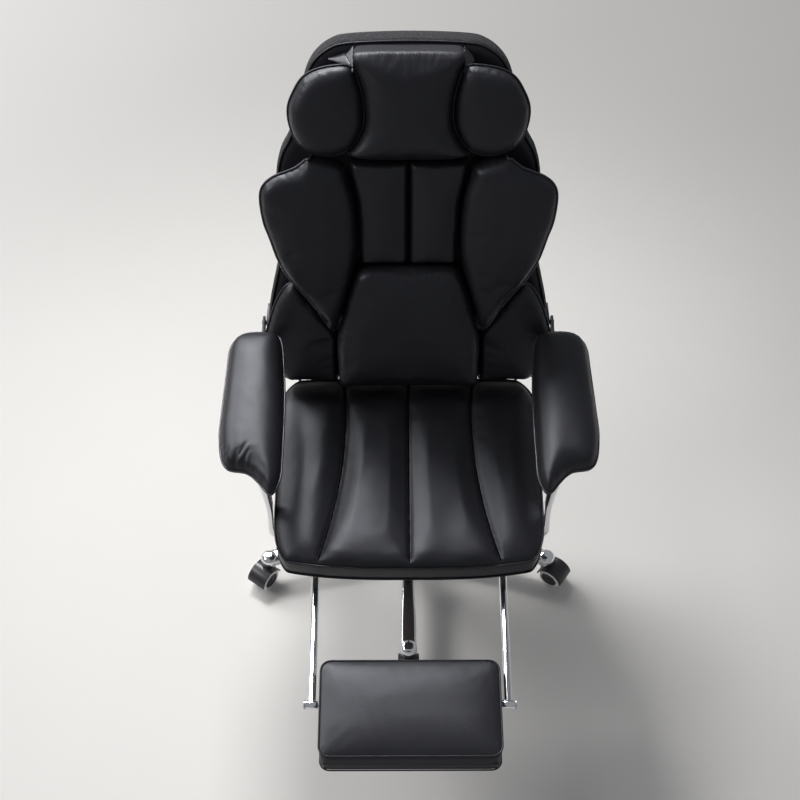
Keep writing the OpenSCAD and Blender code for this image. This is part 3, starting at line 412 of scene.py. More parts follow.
def gathers(uvw, gap, along, spots):
    """Folds that run in from a seam: each spot is (u, v, reach, depth, height, spacing, seed)."""
    total = np.zeros(len(uvw))
    for u, v, reach, depth, height, spacing, seed in spots:
        near = np.exp(-((np.hypot(uvw[:, 0] - u, uvw[:, 1] - v) / reach) ** 4))
        phase = along / spacing + 0.35 * waves(uvw[:, :2], spacing * 3, seed)
        length = depth * (0.75 + 0.5 * waves(np.stack([phase, phase * 0], 1), 2.2, seed + 1))
        fold = 1 - np.abs(np.sin(math.pi * phase))
        fading = np.exp(-((gap / np.maximum(length, 4)) ** 1.5))
        total -= height * near * fold**2 * fading * np.clip(gap / 3, 0, 1)
    return total


def folds(uvw, lines):
    """Single curved folds, each (start, end, height, width, bend): a valley with a ridge beside it."""
    total = np.zeros(len(uvw))
    for a, b, height, width, bend in lines:
        a, way = np.array(a, float), np.array(b, float) - np.array(a, float)
        span = math.hypot(*way)
        rel = uvw[:, :2] - a
        t = rel @ way / span**2
        off = (rel[:, 0] * way[1] - rel[:, 1] * way[0]) / span - bend * 4 * t * (1 - t)
        fade = np.clip(4 * t * (1 - t), 0, 1) ** 0.6
        total += height * fade * (0.7 * np.exp(-((off / width - 1.5) ** 2)) - np.exp(-((off / width) ** 2)))
    return total


class Tree:
    """Places nodes in its tree, with their settings and with values or links on their sockets."""

    def place(self, kind, settings=None, links=None):
        """A node in its place."""
        made = self.tree.nodes.new(kind)
        for key, value in (settings or {}).items():
            setattr(made, key, value)
        for key, value in (links or {}).items():
            self.feed(made.inputs[key], value)
        return made

    def feed(self, socket, value):
        """Puts a value or a link on a socket."""
        if isinstance(value, Value):
            value = value.socket
        if isinstance(value, bpy.types.NodeSocket):
            self.tree.links.new(value, socket)
        else:
            socket.default_value = value


# Trim that follows a line


class Nodes(Tree):
    """Builds one Geometry Nodes tree with named inputs; it ends in Realize Instances and Set Material."""

    def __init__(self, name, inputs):
        self.tree = bpy.data.node_groups.new(name, "GeometryNodeTree")
        sockets = self.tree.interface
        sockets.new_socket("Geometry", in_out="INPUT", socket_type="NodeSocketGeometry")
        for label, kind in inputs.items():
            sockets.new_socket(label, in_out="INPUT", socket_type=kind)
        sockets.new_socket("Geometry", in_out="OUTPUT", socket_type="NodeSocketGeometry")
        self.given = self.tree.nodes.new("NodeGroupInput").outputs

    def add(self, kind, settings=None, links=None):
        """The outputs of a node."""
        return self.place(kind, settings, links).outputs

    def finish(self, geometry):
        """Ends the tree."""
        smooth_faces = self.add("GeometryNodeSetShadeSmooth", links={0: geometry})[0]
        real = self.add("GeometryNodeRealizeInstances", links={0: smooth_faces})[0]
        painted = self.add("GeometryNodeSetMaterial", links={0: real, "Material": self.given["Material"]})[0]
        self.tree.links.new(painted, self.tree.nodes.new("NodeGroupOutput").inputs[0])
        return self.tree


def piping_nodes():
    """A round cord along the curve."""
    made = Nodes("piping", {"Radius": "NodeSocketFloat", "Sides": "NodeSocketInt",
                            "Material": "NodeSocketMaterial"})
    ring = made.add("GeometryNodeCurvePrimitiveCircle",
                    links={"Resolution": made.given["Sides"], "Radius": made.given["Radius"]})[0]
    tube = made.add("GeometryNodeCurveToMesh",
                    links={"Curve": made.given[0], "Profile Curve": ring, "Fill Caps": True})[0]
    return made.finish(tube)


def stitch_nodes():
    """Short threads one after another along the curve."""
    made = Nodes("stitches", {"Pitch": "NodeSocketFloat", "Length": "NodeSocketFloat",
                              "Radius": "NodeSocketFloat", "Material": "NodeSocketMaterial"})
    cut = made.add("GeometryNodeResampleCurve", {"mode": "LENGTH"},
                   {"Curve": made.given[0], "Length": made.given["Pitch"]})[0]
    along = made.add("GeometryNodeInputTangent")[0]
    turn = made.add("FunctionNodeAlignEulerToVector", {"axis": "Z"}, {"Vector": along})[0]
    thread = made.add("GeometryNodeMeshCylinder", links={
        "Vertices": 6, "Side Segments": 3, "Radius": made.given["Radius"], "Depth": made.given["Length"]})[0]
    each = made.add("GeometryNodeInstanceOnPoints", links={
        "Points": cut, "Instance": thread, "Rotation": turn})[0]
    return made.finish(each)


def grown(name, line, tree, values, closed=True):
    """A plain mesh that a Geometry Nodes tree grows along a line, given in metres."""
    curve = bpy.data.curves.new(name, "CURVE")
    curve.dimensions = "3D"
    spline = curve.splines.new("POLY")
    spline.points.add(len(line) - 1)
    spline.points.foreach_set("co", np.column_stack([line, np.ones(len(line))]).ravel())
    spline.use_cyclic_u = closed
    carrier = bpy.data.objects.new(name, curve)
    bpy.context.scene.collection.objects.link(carrier)
    modifier = carrier.modifiers.new(tree.name, "NODES")
    modifier.node_group = tree
    names = {item.name: item.identifier for item in tree.interface.items_tree if item.in_out == "INPUT"}
    for label, value in values.items():
        modifier[names[label]] = value
    mesh = bpy.data.meshes.new_from_object(carrier.evaluated_get(bpy.context.evaluated_depsgraph_get()))
    bpy.data.objects.remove(carrier)
    made = bpy.data.objects.new(name, mesh)
    mesh.name = name
    bpy.context.scene.collection.objects.link(made)
    return made


def trim(name, line, body, tree, finish, values, closed=True):
    """A piece of trim that a tree grows along a line in metres, with its values in millimetres."""
    values = {label: value if label == "Sides" else value * MM for label, value in values.items()}
    made = grown(name, line, TREES[tree], {**values, "Material": PAINTS[finish]}, closed)
    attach(made, body)


def piping(name, line, body, radius=2.2, closed=True, finish="leather", sides=10):
    """A welt along a line in metres, with its radius in millimetres."""
    trim(name, line, body, "piping", finish, {"Radius": radius, "Sides": sides}, closed)


def stitches(name, line, body, pitch=5.0, thread_radius=0.38):
    """A row of stitches along a closed line in metres. Each thread fills 0.62 of its pitch."""
    values = {"Pitch": pitch, "Length": 0.62 * pitch, "Radius": thread_radius}
    trim(name, line, body, "stitches", "thread", values)


def on_surface(obj, place, flat, lift, above=900):
    """Points of a flat line (u, v in millimetres) dropped on a finished piece from above, in metres."""
    tree = BVHTree.FromObject(obj, bpy.context.evaluated_depsgraph_get())
    down = Vector(-place.axes[2])
    found = []
    for u, v in flat:
        start = place.world([(u, v, above)])[0]
        hit, normal, _, _ = tree.ray_cast(Vector(start), down)
        if hit:
            found.append(hit + normal * lift * MM)
    return np.array([tuple(p) for p in found])


# Finishes


class Value:
    """A shader socket that takes part in plain arithmetic."""

    def __init__(self, paint, socket):
        self.paint, self.socket = paint, socket

    def math(self, operation, *sockets):
        """A Math node on these values."""
        return self.paint.node("ShaderNodeMath", {"operation": operation}, dict(enumerate(sockets)))

    def __add__(self, other):
        return self.math("ADD", self, other)

    def __sub__(self, other):
        return self.math("SUBTRACT", self, other)

    def __rsub__(self, other):
        return self.math("SUBTRACT", other, self)

    def __mul__(self, other):
        return self.math("MULTIPLY", self, other)

    def above(self, low, high):
        """0 below low and 1 above high."""
        return self.paint.node("ShaderNodeMapRange", {"interpolation_type": "SMOOTHSTEP"},
                               {"Value": self, "From Min": low, "From Max": high})

    __radd__, __rmul__ = __add__, __mul__


class Paint(Tree):
    """Builds one material round a Principled shader; constants go on the shader's own sockets."""

    def __init__(self, name, **constants):
        self.material = bpy.data.materials.new(name)
        self.material.use_nodes = True
        self.tree = self.material.node_tree
        self.shader = self.tree.nodes["Principled BSDF"]
        for key, value in constants.items():
            self.shader.inputs[key.replace("_", " ")].default_value = value
        self.spot = self.node("ShaderNodeTexCoord", out="Object")

    def node(self, kind, settings=None, links=None, out=0):
        """The output asked for of a node."""
        return Value(self, self.place(kind, settings, links).outputs[out])

    def noise(self, scale, detail=2.0, where=None):
        """Clouds."""
        return self.node("ShaderNodeTexNoise", None, {
            "Vector": where or self.spot, "Scale": scale, "Detail": detail})

    def cells(self, scale, feature="F1"):
        """Pebbles."""
        return self.node("ShaderNodeTexVoronoi", {"feature": feature}, {"Vector": self.spot, "Scale": scale})

    def bands(self, scale, way, distortion=0.0):
        """Even stripes across an axis."""
        return self.node("ShaderNodeTexWave", {"bands_direction": way, "wave_profile": "SIN"}, {
            "Vector": self.spot, "Scale": scale, "Distortion": distortion}, out="Fac")

    def stretched(self, factors):
        """The object's own coordinates, scaled along each axis."""
        return self.node("ShaderNodeMapping", None, {"Vector": self.spot, "Scale": factors})

    def colour(self, share, low, high):
        """Base colour that goes from low to high with the share."""
        links = {0: share, 6: (*low, 1), 7: (*high, 1)}
        mixed = self.node("ShaderNodeMix", {"data_type": "RGBA"}, links, out=2)
        self.feed(self.shader.inputs["Base Color"], mixed)

    def roughness(self, value):
        """Puts the value on the shader's roughness."""
        self.feed(self.shader.inputs["Roughness"], value)

    def relief(self, *layers):
        """Bumps one over another: each layer is (height, depth in millimetres)."""
        normal = None
        for height, depth in layers:
            links = {"Height": height, "Distance": depth * MM, "Strength": 1.0}
            if normal:
                links["Normal"] = normal
            normal = self.node("ShaderNodeBump", None, links)
        self.feed(self.shader.inputs["Normal"], normal)
        return self.material


def leather(name, tone, gloss, grain=1.0):
    """Soft coated leather: fine pebbles, pores, faint creases and rubbed patches."""
    p = Paint(name, Specular_IOR_Level=0.42, Specular_Tint=(0.90, 0.92, 1.0, 1.0))
    wide = p.noise(5.0, 3.0)
    rub = p.noise(38.0, 4.0)
    p.colour(wide * 0.6 + rub * 0.4, [c * 0.85 for c in tone], [c * 1.2 for c in tone])
    p.roughness(rub * 0.10 + wide * 0.04 + (gloss - 0.07))
    pebbles = p.cells(640.0, "SMOOTH_F1")
    ridge = p.noise(95.0, 3.0, p.stretched((1.0, 1.0, 2.1))) - 0.5
    creases = 1 - ridge.math("ABSOLUTE", ridge).above(0.0, 0.035)
    pores = p.noise(1500.0, 1.0)
    return p.relief((wide, 0.4), (creases, -0.05 * grain), (pebbles, 0.16 * grain), (pores, 0.03))


def knitted(name, dark, pale):
    """Spacer mesh: staggered knitted loops over a dark ground, with pale flecks."""
    p = Paint(name, Roughness=0.9, Specular_IOR_Level=0.25)
    loops = p.bands(130.0, "X", 1.5) * p.bands(130.0, "Z", 1.5) + p.bands(130.0, "Y", 1.5) * 0.5
    flecks = p.noise(620.0, 2.0).above(0.5, 0.66)
    p.colour(flecks * 0.75 + loops * 0.2, dark, pale)
    return p.relief((loops, 0.5), (flecks, 0.3))


def metal(name, tone, rough, smudge, grit=0.0):
    """Bright metal with cloudy smudges."""
    p = Paint(name, Metallic=1.0)
    cloud = p.noise(22.0, 4.0)
    p.colour(cloud, [c * 0.95 for c in tone], tone)
    p.roughness(cloud * smudge * 2 + (rough - smudge))
    return p.relief((p.noise(900.0, 2.0), grit + 0.0005), (p.noise(40.0, 2.0), 0.01))


def coated(name, tone, rough, grit, shine=0.5):
    """Powder coat or moulded plastic: an even colour over a fine pebbled skin."""
    p = Paint(name, Specular_IOR_Level=shine)
    cloud = p.noise(30.0, 4.0)
    p.colour(cloud, [c * 0.85 for c in tone], [c * 1.2 for c in tone])
    p.roughness(cloud * 0.14 + (rough - 0.07))
    return p.relief((p.noise(1100.0, 2.0), grit), (cloud, 0.05))


def layered_wood(name, dark, pale):
    """Stained plywood: a streaky grain and its plies."""
    p = Paint(name, Roughness=0.6)
    along = p.noise(16.0, 5.0, p.stretched((9.0, 1.0, 9.0)))
    plies = p.bands(105.0, "Z", 0.4)
    p.colour(along * 0.7 + plies * 0.3, dark, pale)
    return p.relief((along, 0.15), (plies, 0.05))


# Plain shapes


def lathe(profile, centre=(0, 0, 0), axis=(0, 0, 1), steps=48):
    """Points and faces of a closed turned shape. Profile lists (radius, height) in millimetres along the
    axis, and where it keeps off the axis at both ends it closes on itself."""
    turn = np.array(Vector(axis).to_track_quat("Z", "Y").to_matrix())
    angles = np.linspace(0, 2 * math.pi, steps, endpoint=False)
    points, faces, rings = [], [], []
    for radius, height in profile:
        if radius < 1e-6:
            rings.append([len(points)])
            points.append((0, 0, height))
        else:
            rings.append(list(range(len(points), len(points) + steps)))
            points += [(radius * math.cos(a), radius * math.sin(a), height) for a in angles]
    hollow = profile[0][0] > 0 and profile[-1][0] > 0
    for low, high in zip(rings, rings[1:] + rings[:1] * hollow):
        for i in range(steps):
            j = (i + 1) % steps
            quad = [low[i % len(low)], low[j % len(low)], high[j % len(high)], high[i % len(high)]]
            face = list(dict.fromkeys(quad))
            if len(face) > 2:
                faces.append(tuple(face))
    return (np.array(points, float) @ turn.T + np.array(centre, float)) * MM, faces


def joined(name, parts, material, flat_angle=35):
    """One object from several sets of points and faces, with faces turned outwards."""
    points, faces, total = [], [], 0
    for part_points, part_faces in parts:
        points.append(part_points)
        faces += [tuple(i + total for i in f) for f in part_faces]
        total += len(part_points)
    made = new_object(name, np.vstack(points), faces, material)
    outward(made)
    made.data.set_sharp_from_angle(angle=math.radians(flat_angle))
    return made


def swept(outline, profile, place):
    """Points and faces of a closed profile of (inset, height) carried round a closed outline."""
    n, m = len(outline), len(profile)
    rings = [np.column_stack([inset(outline, by), np.full(n, float(level))]) for by, level in profile]
    faces = [(k * n + i, k * n + (i + 1) % n, (k + 1) % m * n + (i + 1) % n, (k + 1) % m * n + i)
             for k in range(m) for i in range(n)]
    return place.world(np.vstack(rings)), faces


def rim_line(place, outline, level, by=0.0, step=4.0):
    """A closed line in metres, at the inset and height given, along an outline."""
    line = inset(smooth(outline, step), by)
    return place.world(np.column_stack([line, np.full(len(line), float(level))]))


# Where a pad's edge counts as its inner one and as its outer one, from the middle
INNER_TO_OUTER = (155, 215)


def crowned(seam, face, roll, crown, slope=0.0, centre=0.0):
    """Face heights of a stuffed pad: a rolled edge from its seam to its face, and a crown over it. Two
    rolls are for its inner and its outer edge, and slope raises its face outwards from the centre given."""
    def top(corners, gap, _):
        width = np.abs(corners[:, 0])
        edge = roll if np.isscalar(roll) else np.interp(width, INNER_TO_OUTER, roll)
        lift = slope * (width - centre) * rolled(gap, 40)
        return seam + (face - seam) * rolled(gap, edge) + crown * (1 - (1 - gap / gap.max()) ** 2) + lift
    return top


def gathered(spots, extra=None):
    """The detail of a piece that has gathers, and curved folds where extra lists them."""
    return lambda uvw, gap, along: gathers(uvw, gap, along, spots) + folds(uvw, extra or ())


def handed(outline, side):
    """A right-hand outline, or its mirror image for the left side."""
    return outline if side > 0 else mirrored(outline)


def handed_spots(rows, side, seeds):
    """The gathers of a right-hand piece on its own side, with seeds that lie seeds apart."""
    return [(side * u, *rest, seeds * k + side) for k, (u, *rest) in enumerate(rows)]


def dress(obj, body, *nodes, fill=0.7):
    """Puts a stuffed leather piece on its body, and hides the CAD nodes that it stands for."""
    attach(obj, body)
    if nodes:
        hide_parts(*nodes)


PAINTS = {}
TREES = {}

# Settings


def amount(label, text, value, low, high, **extra):
    """A setting that is a number."""
    return FloatProperty(name=label, description=text, default=value, min=low, max=high, **extra)


def tint(label, text, value):
    """A setting that is a colour."""
    return FloatVectorProperty(name=label, description=text, default=value, subtype="COLOR", size=3,
                               min=0, max=1)


def watts(label, text, value):
    """A setting that is a lamp's power."""
    return amount(label, text + ", in watts", value, 0, 1000, subtype="POWER")


class CoverSettings(PropertyGroup):
    """Leather, mesh and stuffing"""

    leather: tint("Leather", "Colour of the black leather", (0.0072, 0.0070, 0.0092))
    gloss: amount("Roughness", "Roughness of the leather", 0.44, 0.1, 1.0)
    mesh_dark: tint("Mesh ground", "Colour between the threads of the knitted mesh", (0.006, 0.006, 0.007))
    mesh_pale: tint("Mesh thread", "Colour of the pale flecks of the knitted mesh", (0.075, 0.075, 0.085))
    welt: amount("Welt radius", "Radius of the welts, in millimetres", 2.2, 1.0, 4.0)
    pressure: amount("Stuffing", "Pressure that fills the cushions", 4.0, 0.0, 12.0)
    growth: amount("Slack", "How much larger the cover is cut than its foam", 0.006, 0.0, 0.05)


class MetalSettings(PropertyGroup):
    """Metal and plastic"""

    chrome: tint("Chrome", "Colour of the chrome plating", (0.80, 0.81, 0.83))
    polish: amount("Polish", "Roughness of the chrome", 0.07, 0.02, 0.5)
    steel: tint("Steel", "Colour of the coated steel", (0.018, 0.018, 0.020))
    plastic: tint("Plastic", "Colour of the moulded parts", (0.016, 0.015, 0.018))
    tread: tint("Tread", "Colour of the wheel rings", (0.78, 0.79, 0.80))


class StageSettings(PropertyGroup):
    """Floor and light"""

    floor: tint("Floor", "Colour of the plain floor", (0.60, 0.585, 0.565))
    key: watts("Window light", "Power of the large light behind the chair", 230)
    top: watts("High light", "Power of the light high behind the chair", 13)
    fill: watts("Side light", "Power of the soft light at the side", 45)
    sky: amount("Room light", "Strength of the light from all round", 0.34, 0.0, 3.0)


class Piece:
    """What every operator here shares"""

    bl_options = {"REGISTER", "UNDO"}


class CHAIR_OT_finishes(Piece, Operator):
    """Make the leather, mesh, metal, plastic and wood finishes and put them on the frame's own parts"""

    bl_idname = "chair.finishes"
    bl_label = "Finishes"

    def execute(self, context):
        covers, metals = context.scene.chair_covers, context.scene.chair_metal
        PAINTS.update(
            leather=leather("leather", covers.leather, covers.gloss),
            # The welts' leather is 3.2 times lighter than the rest: a painted highlight standing for the
            # light that their round edges catch
            welt=leather("welt leather with painted highlight", [c * 3.2 for c in covers.leather], covers.gloss - 0.18, 0.5),
            seam=coated("seam shadow", (0.001, 0.001, 0.001), 0.95, 0.01, 0.05),
            mesh=knitted("knitted mesh", covers.mesh_dark, covers.mesh_pale),
            thread=coated("black thread", (0.02, 0.02, 0.022), 0.6, 0.02),
            chrome=metal("chrome", metals.chrome, metals.polish, 0.02),
            zinc=metal("zinc plate", (0.55, 0.56, 0.57), 0.34, 0.08, 0.01),
            black_steel=coated("coated steel", metals.steel, 0.45, 0.04),
            black_plastic=coated("moulded plastic", metals.plastic, 0.34, 0.03),
            plywood=layered_wood("stained plywood", (0.016, 0.013, 0.011), (0.045, 0.036, 0.030)),
            tread=coated("wheel ring", metals.tread, 0.45, 0.02),
        )
        TREES.update(piping=piping_nodes(), stitches=stitch_nodes())
        for name, node in frame["nodes"].items():
            node.data.materials.clear()
            node.data.materials.append(PAINTS[FINISH_OF.get(name.rstrip("_12345"), "black_steel")])
            soften(node)
        return {"FINISHED"}


# The CAD nodes of each finish, without the numbers of their legs. All others are coated steel
NODES_OF = {
    "chrome": ("star_base", "pressure_tube", "footrest_rods", "arm_bar_left", "arm_bar_right"),
    "zinc": ("column_bearing", "piston_rod", "tilt_pin", "tilt_spring", "seat_pivot_bolts", "footrest_axle",
             "caster_pins"),
    "black_plastic": ("column_bush", "tension_knob", "height_lever", "recline_lever", "footrest_guides",
                      "caster_hood"),
    "plywood": ("seat_board", "footrest_board", "back_board"),
    "tread": ("caster_wheel_left", "caster_wheel_right"),
}
FINISH_OF = {name: finish for finish, names in NODES_OF.items() for name in names}


def soften(node, width=0.5):
    """Breaks the hard edges of a rigid part with small rounded bevels."""
    weld = node.modifiers.new("weld", "WELD")
    weld.merge_threshold = 1e-5
    edge = node.modifiers.new("edge", "BEVEL")
    edge.width, edge.segments, edge.limit_method = width * MM, 2, "ANGLE"
    edge.angle_limit = math.radians(40)
    edge.harden_normals = True
    for polygon in node.data.polygons:
        polygon.use_smooth = True


# The seat's outline, seams and heights. A share runs from 0 at its rear edge to 1 at its front edge
SEAT_REAR = 123
SEAT_LENGTH = 474
SEAT_HALF = 271
SEAT_FOOT = 412
SEAT_SEAM = 456
SEAT_CROWN = 20


def seat_edge(x, share):
    """Where a share lies at x: the front edge bows out and the rear one draws in at its corners."""
    u = np.abs(x) / (SEAT_HALF + 2)
    return SEAT_REAR - (SEAT_LENGTH - 24 * u**3) * share - 8 * u**4 * (1 - share)


def seat_half(share):
    """Half the seat's width, which draws in at the front and more at the rear."""
    return SEAT_HALF * (1 - np.where(share > 0.5, 0.090, 0.136) * np.abs(2 * share - 1) ** 8)


def seat_side_seam(share):
    """How far the outer seams lie from the middle one: least at a quarter of the way."""
    waist = 0.25
    toward_rear = 8 * (1 - share / waist) ** 2
    toward_front = 49 * ((share - waist) / 0.73) ** 2
    return 132 + np.where(share < waist, toward_rear, toward_front)


def seat_rim():
    """The seat's outline, anticlockwise from the left end of its front edge."""
    share = np.linspace(0, 1, 61)
    half = seat_half(share)
    front = np.linspace(-half[-1], half[-1], 61)
    rear = front[::-1] * half[0] / half[-1]
    right = np.column_stack([half, seat_edge(half, share)])[::-1]
    left = (right[::-1] * (-1, 1))[1:-1]
    rim = even(np.vstack([np.column_stack([front, seat_edge(front, 1.0)]), right[1:],
                          np.column_stack([rear, seat_edge(rear, 0.0)])[1:], left]), 5.0, True)
    for _ in range(2):
        rim = (np.roll(rim, 1, 0) + 2 * rim + np.roll(rim, -1, 0)) / 4
    return rim


def seat_seams():
    """The middle seam and the two outer ones, from the rear to the front."""
    share = np.linspace(0.02, 0.982, 40)
    middle = np.column_stack([share * 0, seat_edge(share * 0, share)])
    side = np.column_stack([seat_side_seam(share), seat_edge(seat_side_seam(share), share)])
    return [middle, side, side * (-1, 1)]


def seat_rear_share(y):
    """0 over most of the seat, rising to 1 at its rear edge, which is sewn lower."""
    return np.clip((y - 46) / 68, 0, 1)


def seat_top(corners, gap, seam_gap):
    """Face heights of the seat, which rolls down to its channels and edge, longest at the rear."""
    x, y = np.abs(corners[:, 0]), corners[:, 1]
    roll = 30 + 45 * np.clip((x - 150) / 90, 0, 1)
    trough = (1 - rolled(seam_gap, 46, 2.4)) * np.clip(gap / 16, 0, 1)
    fall = 1 - (1 - np.clip((seat_edge(x, 0) - y) / 92, 0, 1)) ** 1.6
    seam = SEAT_SEAM - 10 * seat_rear_share(y)
    return seam + (SEAT_CROWN - 15 * trough) * np.minimum(rolled(gap, roll, 2.0), fall)


class CHAIR_OT_seat(Piece, Operator):
    """Sew the seat cushion: four stuffed panels between three channels, over a boxing band"""

    bl_idname = "chair.seat"
    bl_label = "Seat cushion"

    def execute(self, context):
        covers = context.scene.chair_covers
        rim, seams = seat_rim(), seat_seams()
        wall = [(30, 411.6), (13, 411.6), (13, 399.6), (11, 399.2), (0.5, 411), (-0.8, 434)]
        spots = [(-181, -325, 24, 22, 1.4, 11, 2), (181, -325, 24, 22, 1.4, 11, 4),
                 (0, -345, 22, 20, 1.0, 10, 7)]
        seat = stuff("seat_cover", LEVEL, rim, wall, seat_top, PAINTS["leather"], seams, 6.0,
                     (covers.pressure, covers.growth * 0.3, 5, 3), gathered(spots))
        dress(seat, "seat", "seat_cushion", fill=0.75)
        # A thin near-black cord along each seam is painted shade: it stands for the shadow down in the seam's
        # groove
        for number, seam in enumerate(seams):
            line = on_surface(seat, LEVEL, even(seam, 5, False), 0.2)
            piping(f"seat_seam_shadow_{number + 1}", line, "seat", 1.5, False, "seam", 8)
        line = smooth(rim, 4)
        rear = seat_rear_share(line[:, 1])
        upper = np.column_stack([inset(line, -0.6), SEAT_SEAM - 10 * rear])
        lower = np.column_stack([inset(line, 0.6), np.full(len(line), float(SEAT_FOOT))])
        band = np.column_stack([inset(line, -0.9), SEAT_SEAM - 5.5 - 9 * rear])
        piping("seat_top_welt", LEVEL.world(upper), "seat", 2.0)
        piping("seat_foot_welt", LEVEL.world(lower), "seat", 2.0)
        stitches("seat_band_stitches", LEVEL.world(band), "seat")
        return {"FINISHED"}


# The knitted side of the back from its rear edge to its front one: (inset, height)
GUSSET = [(9, -61.5), (6.6, -61), (3.2, -56), (0.4, -49), (-0.9, -40), (-1.2, -28), (-0.9, -15),
          (0.2, -8), (3, -4.4), (9, -4.5)]


def rear_cover_top(corners, gap, seam_gap):
    """Face heights of the rear cover: a low crown with a channel along each seam."""
    channel = 5 * (1 - rolled(seam_gap, 22)) * np.clip(gap / 20, 0, 1)
    return 63 + 7 * rolled(gap, 26) + 2.5 - channel


class CHAIR_OT_back(Piece, Operator):
    """Cover the back: leather face, knitted gusset, rear cover and the welts between them"""

    bl_idname = "chair.back"
    bl_label = "Back cover"

    def execute(self, context):
        welt = context.scene.chair_covers.welt
        outline, cover = both_sides(BACK_PAD), both_sides(COVER)
        front = inset(smooth(outline, 9), 4.2)
        face = stuff("back_face", BACK, front, [(9, -14)], crowned(-4, -0.6, 16, 0.4), PAINTS["leather"],
                     step=9.0)
        dress(face, "back", fill=0.5)
        gusset = joined("back_gusset", [swept(smooth(outline, 6), GUSSET, BACK)], PAINTS["mesh"], 60)
        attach(gusset, "back")
        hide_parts("back_pad")
        piping("back_front_welt", rim_line(BACK, outline, -2.6, 3.6), "back", welt + 0.2)
        piping("back_rear_welt", rim_line(BACK, outline, -58.5, 4.6), "back", welt)
        rear_seams = [[(s * 78, h) for h in range(46, 700, 20)] for s in (-1, 1)]
        rear = stuff("rear_cover", REAR, cover, [(3, 59.8)], rear_cover_top, PAINTS["mesh"], rear_seams, 9.0)
        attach(rear, "back")
        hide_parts("back_cover")
        piping("rear_welt", rim_line(REAR, cover, 62.5, 0.0), "back", welt)
        return {"FINISHED"}


def wing_top(outer, inner):
    """Face heights of a wing, which is steep beside its outer seam and soft beside its inner one."""
    def top(corners, gap, _=None):
        steep = 17 * (1 - rolled(nearest(corners, outer, False)[0] - 1, 24))
        soft = 31 * (1 - rolled(nearest(corners, inner, False)[0] - 1, 27))
        crown = 7 * (1 - (1 - gap / 60) ** 2)
        return 79 + 0.12 * (np.abs(corners[:, 0]) - 205) + crown - np.maximum(steep, soft)
    return top


def back_pad(name, outline, wall, top, sim, spots, node, step=6.0, lean=None):
    """A stuffed leather pad of the back that stands for a CAD node."""
    pad = stuff(name, BACK, outline, wall, top, PAINTS["leather"], (), step, sim, gathered(spots), lean)
    dress(pad, "back", node)


def make_wing(side, name, welt, sim):
    """A wing of the back, with a welt round its outer edge."""
    top = wing_top(smooth(handed(WING_OUTER, side), 3, False),
                   smooth(handed(WING_INNER + WING_OUTER[:1], side), 3, False))
    spots = handed_spots(((238, 514, 36, 11, 2.4, 13), (104, 335, 26, 16, 1.4, 10),
                          (150, 158, 30, 18, 1.2, 11)), side, 40)
    back_pad(f"wing_{name}_pad", handed(WING_OUTER + WING_INNER, side), [(6, 0.4), (1, 8), (-0.5, 24)],
             top, sim, spots, "wing_" + name, lean=(0.55, 66, 380, 120))
    line = smooth(handed(WING_OUTER + WING_INNER[:1], side), 4, False)
    line = np.column_stack([line, top(line, np.zeros(len(line))) + 0.6])
    piping(f"wing_{name}_welt", BACK.world(line), "back", welt + 0.3, False, "welt")


def make_bolster(side, name, welt, sim):
    """A round bolster beside the head panel, with a welt round it."""
    outline = handed(BOLSTER, side)
    spots = handed_spots(((205, 686, 16, 22, 1.6, 15), (120, 700, 24, 26, 1.0, 12)), side, 40)
    back_pad(f"bolster_{name}_pad", outline, [(14, 0.4), (3, 14), (-0.3, 34)],
             crowned(50, 67, 26, 13, 0.09, 158), sim, spots, "bolster_" + name, 5.5, (0.3, 50, 620, 80))
    piping(f"bolster_{name}_welt", rim_line(BACK, outline, 50.0, -0.6), "back", welt)


# Folds of leather that stand out between the head panel and the left bolster. Each has its corners, its
# height at a place (x, y), how fast it falls outwards from there, and its greatest height
HEAD_FOLDS = (
    ([(-105, 746), (-128, 722), (-104, 708)], 42, (105, 724), 1.0, 60),
    ([(-120, 732), (-157, 720), (-104, 719)], 47, (110, 722), 0.8, 1000),
)


def make_head_folds(side, name):
    """The folds beside the head panel: one on the right and two on the left."""
    for part, (corners, height, (x, y), fall, most) in enumerate(HEAD_FOLDS[:1 if side > 0 else 2]):
        def top(found, gap, _):
            slope = height - fall * (np.abs(found[:, 0]) - x) - 1.4 * (found[:, 1] - y)
            return np.clip(slope, 8, most) + 3 * rolled(gap, 8)

        outline = even(np.array(handed(corners, -side)), 12, True)
        fold = stuff(f"head_fold_{name}_{part + 1}", BACK, outline, [(2, 4)], top, PAINTS["leather"], (), 4.0)
        dress(fold, "back", fill=0.4)


def make_side_pad(side, name, welt, sim):
    """A lower side pad, with a welt along its outer edge."""
    spots = handed_spots(((240, 240, 26, 16, 1.2, 12), (150, 130, 26, 14, 1.2, 11),
                          (285, 40, 30, 16, 1.0, 14)), side, 60)
    back_pad("side_pad_" + name, handed(SIDE, side), [(7, 0.4), (0, 8)], crowned(20, 37, (8, 31), 5), sim,
             spots, "side_pads", 6.5)
    edge = smooth([(side * x, y) for x, y in SIDE[2:9]], 4, False) * (1.002, 1)
    line = np.column_stack([edge, np.full(len(edge), 20.5)])
    piping(f"side_pad_{name}_welt", BACK.world(line), "back", welt - 0.3, False, "welt")


def make_channel(side, name, sim):
    """A pad of the back's middle, beside the sewn channel between the two."""
    spots = handed_spots(((92, 308, 22, 20, 2.2, 9), (50, 300, 30, 14, 1.0, 11), (4, 306, 16, 16, 1.6, 9),
                          (100, 520, 26, 14, 1.0, 11)), side, 60)
    back_pad("channel_" + name, handed(CHANNEL, side), [(3, 0.4), (0, 12)], crowned(38, 53, 12, 7), sim,
             spots, "back_channels")


